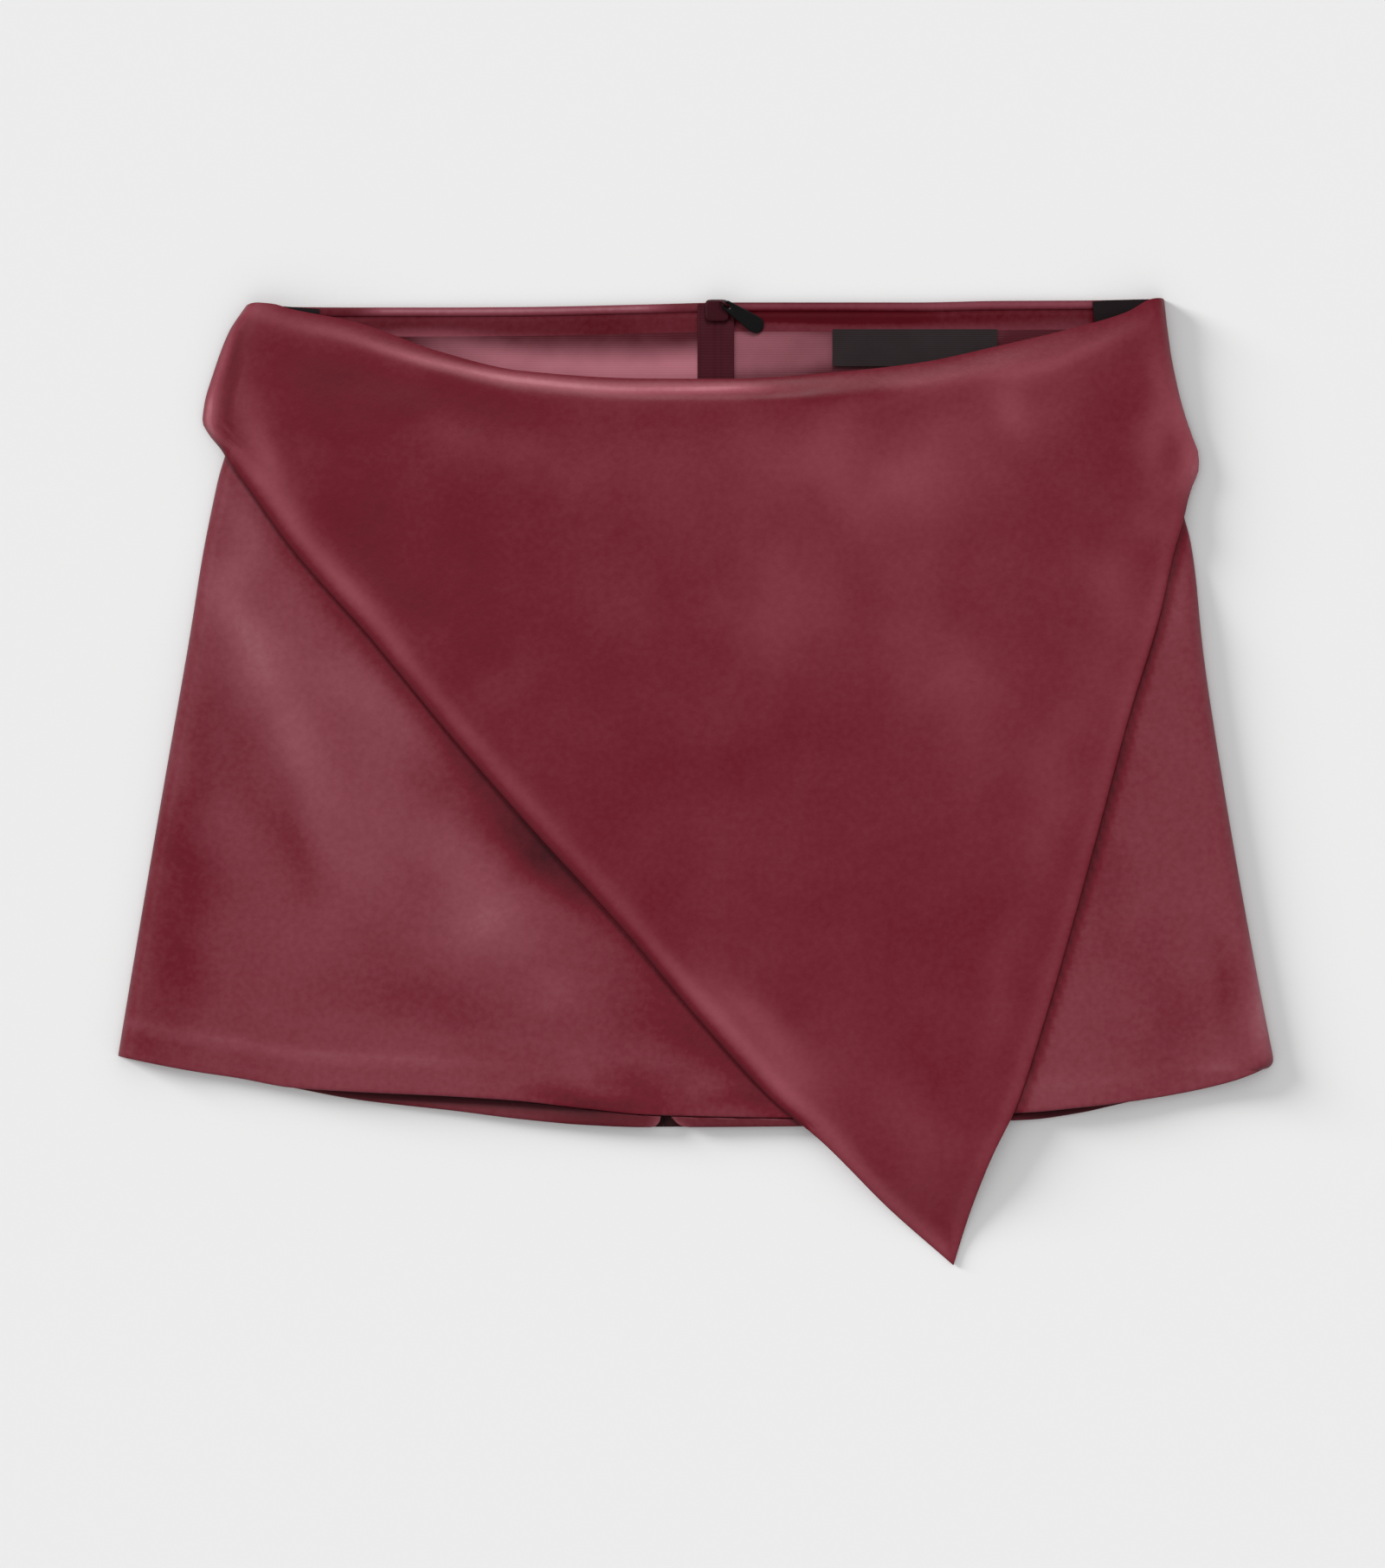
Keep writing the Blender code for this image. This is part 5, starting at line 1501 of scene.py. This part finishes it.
def band_height(x, depth):
    """Half-round rim, a groove behind it, then the flat band."""
    round_share = np.sqrt(np.maximum(1 - (depth / (RIM_WIDTH / 2) - 1) ** 2, 0.0))
    groove = GROOVE * hump(depth - RIM_WIDTH - GROOVE_AT, GROOVE_WIDTH)
    groove = groove * (depth > RIM_WIDTH * GROOVE_FROM)
    level = LAYER + LINING - RIM_TURN * (depth < 0.01)
    return level + RIM_HEIGHT * round_share * (depth < RIM_WIDTH) - groove


def satin_height(x, depth):
    """Shallow uneven waves across the facing: a sum of two sines that fade towards its seam."""
    waves = np.sin(x / SATIN_LONG + 0.6) + 0.7 * np.sin(x / SATIN_SHORT + depth / SATIN_LEAN)
    return LAYER + LINING + SATIN_WAVE * waves * ease((depth - BAND_DEPTH) / SATIN_FREE)


print("points across the rim:", len(BAND_PROFILE))

# %% Painted light and shade on the band and facing
# painted highlight along the back band's rim, on each side
BACK_RIM_HIGHLIGHT = {LEFT: 1.12, RIGHT: 0.75}
BACK_RIM_HIGHLIGHT_AT = 1.5
BACK_RIM_HIGHLIGHT_WIDTH = 1.4
RIM_DULL = {LEFT: 0.85, RIGHT: 0.0}  # share of the painted highlight that is gone next to the zip
RIM_DULL_X = -22.0
RIM_DULL_REACH = 16.0
RIM_START_X = -138.0  # left of it the rim has no painted highlight
RIM_START_REACH = 18.0
RIM_DUST = 0.05
BAND_FADE = {LEFT: 0.85, RIGHT: 0.5}  # how much of the satin's painted light the band has at its lower edge
BAND_FADE_AHEAD = 1.5
BAND_TONE = {LEFT: 0.18, RIGHT: -0.12}
BAND_LIGHT = 0.25  # a little paler to the right, and then painted shade in the corner
BAND_LIGHT_X = 60.0
BAND_LIGHT_REACH = 60.0
BAND_CORNER_SHADE = 2.2
BAND_CORNER_SHADE_X = 155.0
BAND_CORNER_SHADE_REACH = 9.0
SATIN_DEEP = 0.14
SATIN_SHADE = 0.30  # in the shade of the front waist edge
SATIN_SHADE_REACH = 3.6
SatinRow = namedtuple("SatinRow", "x start reach tone")
# along the waist at x: the depth where the satin's painted light starts, how far it takes, and its tone,
# how strong it becomes
SATIN = (
    SatinRow(x=-130, start=9.0, reach=12.0, tone=0.70),
    SatinRow(x=-116, start=8.0, reach=13.0, tone=0.90),
    SatinRow(x=-104, start=7.5, reach=14.0, tone=1.02),
    SatinRow(x=-69, start=10.5, reach=15.0, tone=1.18),
    SatinRow(x=-22, start=12.0, reach=16.0, tone=1.20),
    SatinRow(x=5, start=12.0, reach=15.0, tone=1.14),
    SatinRow(x=12, start=8.0, reach=6.0, tone=0.58),
    SatinRow(x=35, start=8.0, reach=6.0, tone=0.50),
    SatinRow(x=60, start=8.5, reach=7.0, tone=0.32),
    SatinRow(x=118, start=8.0, reach=14.0, tone=0.40),
    SatinRow(x=150, start=6.0, reach=20.0, tone=0.30),
)
satin_start = curve_through(SATIN, "x", "start")
satin_reach = curve_through(SATIN, "x", "reach")
satin_tone = curve_through(SATIN, "x", "tone")


def band_tone_and_painted_light(side, x, depth):
    """The rim's painted highlight, the satin's painted light starting at the lower edge, the tone along
    it, and painted shade in the corner.
    """
    gloss = BACK_RIM_HIGHLIGHT[side] * hump(depth - BACK_RIM_HIGHLIGHT_AT, BACK_RIM_HIGHLIGHT_WIDTH) - RIM_DUST
    gloss = gloss * (1 - RIM_DULL[side] * ease((x - RIM_DULL_X) / RIM_DULL_REACH))
    below = ease((depth - satin_start(x) + BAND_FADE_AHEAD) / (0.5 * satin_reach(x)))
    tone = gloss * ease((x - RIM_START_X) / RIM_START_REACH) + BAND_FADE[side] * below
    tone += BAND_TONE[side] + BAND_LIGHT * ease((x - BAND_LIGHT_X) / BAND_LIGHT_REACH)
    return tone - BAND_CORNER_SHADE * ease((x - BAND_CORNER_SHADE_X) / BAND_CORNER_SHADE_REACH)


def satin_tone_and_painted_light(x, y, depth):
    """The satin's painted light, growing with the depth below the waist, less painted shade under the
    front edge.
    """
    light = satin_tone(x) * ease((depth - satin_start(x)) / satin_reach(x))
    return light - SATIN_DEEP - SATIN_SHADE * hump(y - front_waist(x), SATIN_SHADE_REACH)


print("rows of the satin's light:", len(SATIN))

# %% Waist band and facing
band_depths = np.concatenate([BAND_PROFILE, np.linspace(RIM_WIDTH, BAND_DEPTH, 16)[1:]])
facing_depths = np.linspace(BAND_DEPTH + TRIM_GAP, FACING_DEPTH, 48)
inside = {}
for side, word in ((LEFT, "left"), (RIGHT, "right")):
    x, y, z = waist_strip(side, band_depths, band_height)
    inside[f"waist_band_{word}"] = cloth(
        f"waist_band_{word}_cloth",
        np.stack([x, y, z], axis=-1),
        BAND_WALL,
        band_leather_in_shade,
        bloom_and_painted_light=band_tone_and_painted_light(side, x, band_depths[:, None]),
    )
    x, y, z = waist_strip(side, facing_depths, satin_height, columns=150)
    inside[f"facing_{word}"] = cloth(
        f"facing_{word}_cloth",
        np.stack([x, y, z], axis=-1),
        SATIN_WALL,
        satin,
        bloom_and_painted_light=satin_tone_and_painted_light(x, y, facing_depths[:, None]),
    )

# %% [markdown]
# ## Zip, label and hanger loops
#
# An invisible zip has its coil on the outside, so the inside shows two tapes with a fold between
# them, each with a raised cord beside the fold and another along its edge. The label is a plain
# piece of woven ribbon, left bare, whose top edge lies on the band and whose ends curl up a
# little. The hanger loops are ribbons caught in the side seams, and only their ends show.

# %% Zip tapes
RIBBON_WALL = 0.6
TAPE_TOP = 0.6  # below the waist edge
TAPE_SINK = 0.15
TAPE_RIDGE = 0.3
TAPE_RIDGE_AT = 1.4  # from the seam
TAPE_RIDGE_WIDTH = 0.9
TAPE_CORD = 0.25
TAPE_CORD_AT = 6.6
TAPE_CORD_WIDTH = 0.5
trims = {}
tape_y = np.linspace(float(back_waist(np.array(SEAM_X))) - TAPE_TOP, WAIST_Y - TAPE_LENGTH, 120)
for side, word in ((LEFT, "left"), (RIGHT, "right")):
    near = seam_x(tape_y) + side * SEAM_GAP / 2
    far = near + side * TAPE_WIDTH
    ends = (far, near) if side == LEFT else (near, far)
    x = mix(ends[0][:, None], ends[1][:, None], np.linspace(0.0, 1.0, 25))
    y = np.broadcast_to(tape_y[:, None], x.shape)
    from_seam = np.abs(x - seam_x(y))
    ridge = TAPE_RIDGE * hump(from_seam - TAPE_RIDGE_AT, TAPE_RIDGE_WIDTH)
    ridge = ridge + TAPE_CORD * hump(from_seam - TAPE_CORD_AT, TAPE_CORD_WIDTH)
    trims[f"zip_tape_{word}"] = cloth(
        f"zip_tape_{word}_cloth",
        np.stack([x, y, LAYER + TRIM_LAYER + LINING - TAPE_SINK + ridge], axis=-1),
        RIBBON_WALL,
        tape_twill,
        flat=np.stack([from_seam, y], axis=-1),
    )

# %% Label
LABEL_SIZE = (64.8, 14.6)
LABEL_CENTRE = (86.5, 171.0)
LABEL_THICK = 0.6
LABEL_AIR = 0.3
LABEL_BLOOM = 0.25
CURL = 0.5  # rise of the ends
CURL_POWER = 6
LABEL_WAVE = 0.25  # rise and fall along the lower edge
LABEL_WAVES = 9.0
s, t = np.meshgrid(np.linspace(-0.5, 0.5, 66), np.linspace(0.5, -0.5, 22))
curl = CURL * np.abs(s * 2) ** CURL_POWER + LABEL_WAVE * np.sin(s * LABEL_WAVES) * (0.5 - t)
label_points = np.stack(
    [
        LABEL_CENTRE[0] + s * LABEL_SIZE[0],
        LABEL_CENTRE[1] + t * LABEL_SIZE[1],
        LAYER + TRIM_LAYER + LABEL_THICK + LABEL_AIR + curl,
    ],
    axis=-1,
)
trims["label"] = cloth("label_cloth", label_points, LABEL_THICK, ribbon, bloom_and_painted_light=LABEL_BLOOM)

# %% Hanger loops
LoopRow = namedtuple("LoopRow", "node first last width_first width_last")
HANGER_LOOPS = (
    LoopRow("hanger_loop_left", (-167.0, 186.1), (-148.5, 184.5), width_first=3.2, width_last=3.4),
    LoopRow("hanger_loop_right", (157.0, 184.4), (177.0, 186.4), width_first=9.6, width_last=7.4),
)
LOOP_BLOOM = -0.2
LOOP_WAVE = 0.1
LOOP_WAVES = 7.0
LOOP_CROWN = 0.08
LOOP_CROWN_TURN = 5.0
along, across = np.meshgrid(np.linspace(0.0, 1.0, 40), np.linspace(0.5, -0.5, 12))
loop_z = LAYER + TRIM_LAYER + LINING + LOOP_WAVE * np.sin(along * LOOP_WAVES)
loop_z = loop_z + LOOP_CROWN * np.cos(across * LOOP_CROWN_TURN)
for row in HANGER_LOOPS:
    run = np.array(row.last) - np.array(row.first)
    side_way = np.array([-run[1], run[0]]) / np.hypot(*run)
    width = mix(row.width_first, row.width_last, along)
    x = row.first[0] + run[0] * along + side_way[0] * width * across
    y = row.first[1] + run[1] * along + side_way[1] * width * across
    trims[row.node] = cloth(
        f"{row.node}_ribbon",
        np.stack([x, y, loop_z], axis=-1),
        RIBBON_WALL,
        ribbon,
        bloom_and_painted_light=LOOP_BLOOM,
        flat=np.stack([width * across, along * np.hypot(*run)], axis=-1),
    )

# %% [markdown]
# ## Zip slider and pull
#
# The slider is a small cast body whose outline is a rounded rectangle and whose top is slightly
# domed, with a wire arch over it. The pull hangs on the arch and lies on the band. All three are
# surfaces of two angles: the body is a stack of superellipses, the arch a circle carried along half
# a ring, and the pull a rounded section carried round between its outline and its eye.

# %% Tubes and superellipses
def closed_tube(name, rings, surface, ends="capped"):
    """A closed surface through rings of points. Its end rings are capped, or joined to each other."""
    count, around, _ = rings.shape
    number = np.arange(count * around).reshape(count, around)
    after = np.roll(number, -1, axis=1)
    quads = np.stack([number, after, np.roll(after, -1, axis=0), np.roll(number, -1, axis=0)], axis=-1)
    if ends == "capped":
        quads = quads[:-1]
    quads = quads.reshape(-1, 4)
    points = rings.reshape(-1, 3)
    corners = [quads[:, [0, 1, 2]], quads[:, [0, 2, 3]]]
    if ends == "capped":
        points = np.concatenate([points, rings[0].mean(axis=0)[None], rings[-1].mean(axis=0)[None]])
        first, last = np.full(around, count * around), np.full(around, count * around + 1)
        corners.append(np.stack([after[0], number[0], first], axis=-1))
        corners.append(np.stack([number[-1], after[-1], last], axis=-1))
    corners = np.concatenate(corners)
    print(f"{name}: {len(corners)} triangles")
    return mesh_object(name, points, corners, surface, smooth_angle=60.0)


def superellipse(turn, power):
    """Shares of the half width and half height: the signed cosine and sine to the power 2 / power."""
    return (
        np.sign(np.cos(turn)) * np.abs(np.cos(turn)) ** (2 / power),
        np.sign(np.sin(turn)) * np.abs(np.sin(turn)) ** (2 / power),
    )


def placed(points, matrix):
    """Points times the matrix's turn, plus its shift, for a whole array at once."""
    turned = np.asarray(matrix.to_3x3())
    return points @ turned.T + np.asarray(matrix.translation)


print("helpers for hard pieces")

# %% Slider
SLIDER_SIZE = (9.4, 8.6, 1.5)
SLIDER_CENTRE = (8.4, 185.6)
SLIDER_SQUARENESS = 5.0
RING_LIFT = np.array([0.0, 0.0, 0.12, 0.3, 0.72, 0.88, 0.97, 1.0, 1.0])  # share of the height
RING_SPREAD = np.array([0.6, 0.9, 0.98, 1.0, 1.0, 0.97, 0.9, 0.78, 0.5])  # and of the outline
slider_base = LAYER + TRIM_LAYER + LINING + GAP
slider_top = slider_base + SLIDER_SIZE[2]
turn = np.linspace(0, 2 * math.pi, 64, endpoint=False)
cos_share, sin_share = superellipse(turn, SLIDER_SQUARENESS)
slider_z = slider_base + SLIDER_SIZE[2] * RING_LIFT[:, None]
body_rings = np.stack(
    [
        SLIDER_CENTRE[0] + SLIDER_SIZE[0] / 2 * RING_SPREAD[:, None] * cos_share,
        SLIDER_CENTRE[1] + SLIDER_SIZE[1] / 2 * RING_SPREAD[:, None] * sin_share,
        np.broadcast_to(slider_z, (len(RING_LIFT), len(turn))),
    ],
    axis=-1,
)
slider = closed_tube("zip_slider_body", body_rings, slider_enamel)

# %% Wire arch
PIVOT_XY = (11.2, 188.2)
PIVOT_RISE = 1.35
PULL_TURN = math.radians(-33.0)
ARCH_RADIUS = 1.6
ARCH_WIRE = 0.4
ARCH_SINK = 0.4  # how far its ends go into the slider
ARCH_PAST = 0.35  # turn past each end, where the wire goes straight down
pivot = Vector((*PIVOT_XY, slider_top + PIVOT_RISE))
place_pull = Matrix.Translation(pivot) @ Matrix.Rotation(PULL_TURN, 4, "Z")
arch_turn = np.concatenate([[-ARCH_PAST], np.linspace(0.0, math.pi, 21), [math.pi + ARCH_PAST]])
wire_turn = np.linspace(0, 2 * math.pi, 16, endpoint=False)
sink = np.where((arch_turn < 0) | (arch_turn > math.pi), PIVOT_RISE + ARCH_SINK, 0.0)
flat_turn = np.clip(arch_turn, 0.0, math.pi)
radius = ARCH_RADIUS + ARCH_WIRE * np.cos(wire_turn)
arch_rings = np.stack(
    [
        radius * np.cos(flat_turn)[:, None],
        np.broadcast_to(ARCH_WIRE * np.sin(wire_turn), (len(arch_turn), len(wire_turn))),
        radius * np.sin(flat_turn)[:, None] - sink[:, None],
    ],
    axis=-1,
)
arch = closed_tube("zip_slider_arch", placed(arch_rings[::-1], place_pull), slider_enamel)

# %% Pull
PULL_SLOPE = math.radians(11.0)
PULL_THICK = 1.0
PULL_SQUARENESS = 3.2
EYE_RADIUS = 2.0
EYE_BAR = 0.45
EYE_END = 2.75
EYE_HALF = 0.9
BULB_RADIUS = 3.4
BULB_AT = 15.1
DROP_POINTS = 120


def drop_outline(around):
    """The taut line round the eye circle and the bulb circle, at even turns about the eye's middle."""
    eye_at = EYE_RADIUS - EYE_BAR
    lean = math.asin((BULB_RADIUS - EYE_RADIUS) / (BULB_AT - eye_at))
    bulb = np.linspace(-math.pi / 2 - lean, math.pi / 2 + lean, 60)
    eye = np.linspace(math.pi / 2 + lean, 3 * math.pi / 2 - lean, 40)
    x = np.concatenate([BULB_AT + BULB_RADIUS * np.cos(bulb), eye_at + EYE_RADIUS * np.cos(eye)])
    y = np.concatenate([BULB_RADIUS * np.sin(bulb), EYE_RADIUS * np.sin(eye)])
    x, y = np.append(x, x[0]), np.append(y, y[0])
    centre_x = (EYE_BAR + EYE_END) / 2
    angle = np.unwrap(np.arctan2(y, x - centre_x))
    wanted = np.linspace(angle[0], angle[0] + 2 * math.pi, around, endpoint=False)
    return np.interp(wanted, angle, x), np.interp(wanted, angle, y), wanted, centre_x


outline_x, outline_y, wanted, centre_x = drop_outline(DROP_POINTS)
eye_x = centre_x + (EYE_END - EYE_BAR) / 2 * np.cos(wanted)
eye_y = EYE_HALF * np.sin(wanted)
section = np.linspace(0, 2 * math.pi, 20, endpoint=False)
cos_share, sin_share = superellipse(section, PULL_SQUARENESS)
part = 0.5 + 0.5 * cos_share
pull_rings = np.stack(
    [
        mix(eye_x[:, None], outline_x[:, None], part),
        mix(eye_y[:, None], outline_y[:, None], part),
        np.broadcast_to(PULL_THICK / 2 * sin_share, (DROP_POINTS, len(section))),
    ],
    axis=-1,
)
lay_pull = place_pull @ Matrix.Rotation(PULL_SLOPE, 4, "Y")
pull = closed_tube("zip_pull_drop", placed(pull_rings, lay_pull), black_enamel, ends="joined")

# %% [markdown]
# ## What stands for what
#
# Every piece rides on a body of the imported model and replaces its plain solid there. The sizes that
# the cloth pieces were cut to are listed below.

# %% Bodies and replaced solids
cloths = {"skirt_front": skirt, "overlay": overlay, **legs, **inside, **trims}
for node, piece in cloths.items():
    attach(piece, "skort")
    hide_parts(node)
for piece in (slider, arch):
    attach(piece, "skort")
    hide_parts("zip_slider")
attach(pull, "zip_pull_tab")
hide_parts("zip_pull")
print("pieces:", len(cloths) + 3)

# %% [markdown]
# ## Cut sizes
#
# The flat size of each sheet is what a cutter would mark: its width and length on the table, with
# the little that goes round the folds and the rim, and its area where it isn't a rectangle.

# %% Sheets
Cut = namedtuple("Cut", "node width length area rests_on")
CUTS = (
    Cut("skirt_front", 470, 322, 0.128, ("leg_front_left_cloth", "leg_front_right_cloth")),
    Cut("overlay", 410, 390, 0.094, ("skirt_front_cloth",)),
    Cut("leg_front_left", 230, 316, 0.058, ("back_left_cloth",)),
    Cut("leg_front_right", 228, 316, 0.057, ("back_right_cloth",)),
    Cut("back_left", 236, 326, 0.063, ()),
    Cut("back_right", 234, 327, 0.062, ()),
    Cut("waist_band_left", 177, 14, 0.0023, ("back_left_cloth",)),
    Cut("waist_band_right", 168, 14, 0.0022, ("back_right_cloth",)),
    Cut("facing_left", 183, 39, 0.0069, ("back_left_cloth",)),
    Cut("facing_right", 171, 39, 0.0065, ("back_right_cloth",)),
    Cut("zip_tape_left", 12, 148, 0.0011, ("facing_left_cloth",)),
    Cut("zip_tape_right", 12, 148, 0.0011, ("facing_right_cloth",)),
    Cut("label", 65, 15, 0.00095, ("facing_right_cloth",)),
    Cut("hanger_loop_left", 19, 10, 0.000074, ("waist_band_left_cloth",)),
    Cut("hanger_loop_right", 21, 10, 0.00018, ("waist_band_right_cloth",)),
)
for cut in CUTS:
    print(cut.node, cut.width, "x", cut.length, "mm")
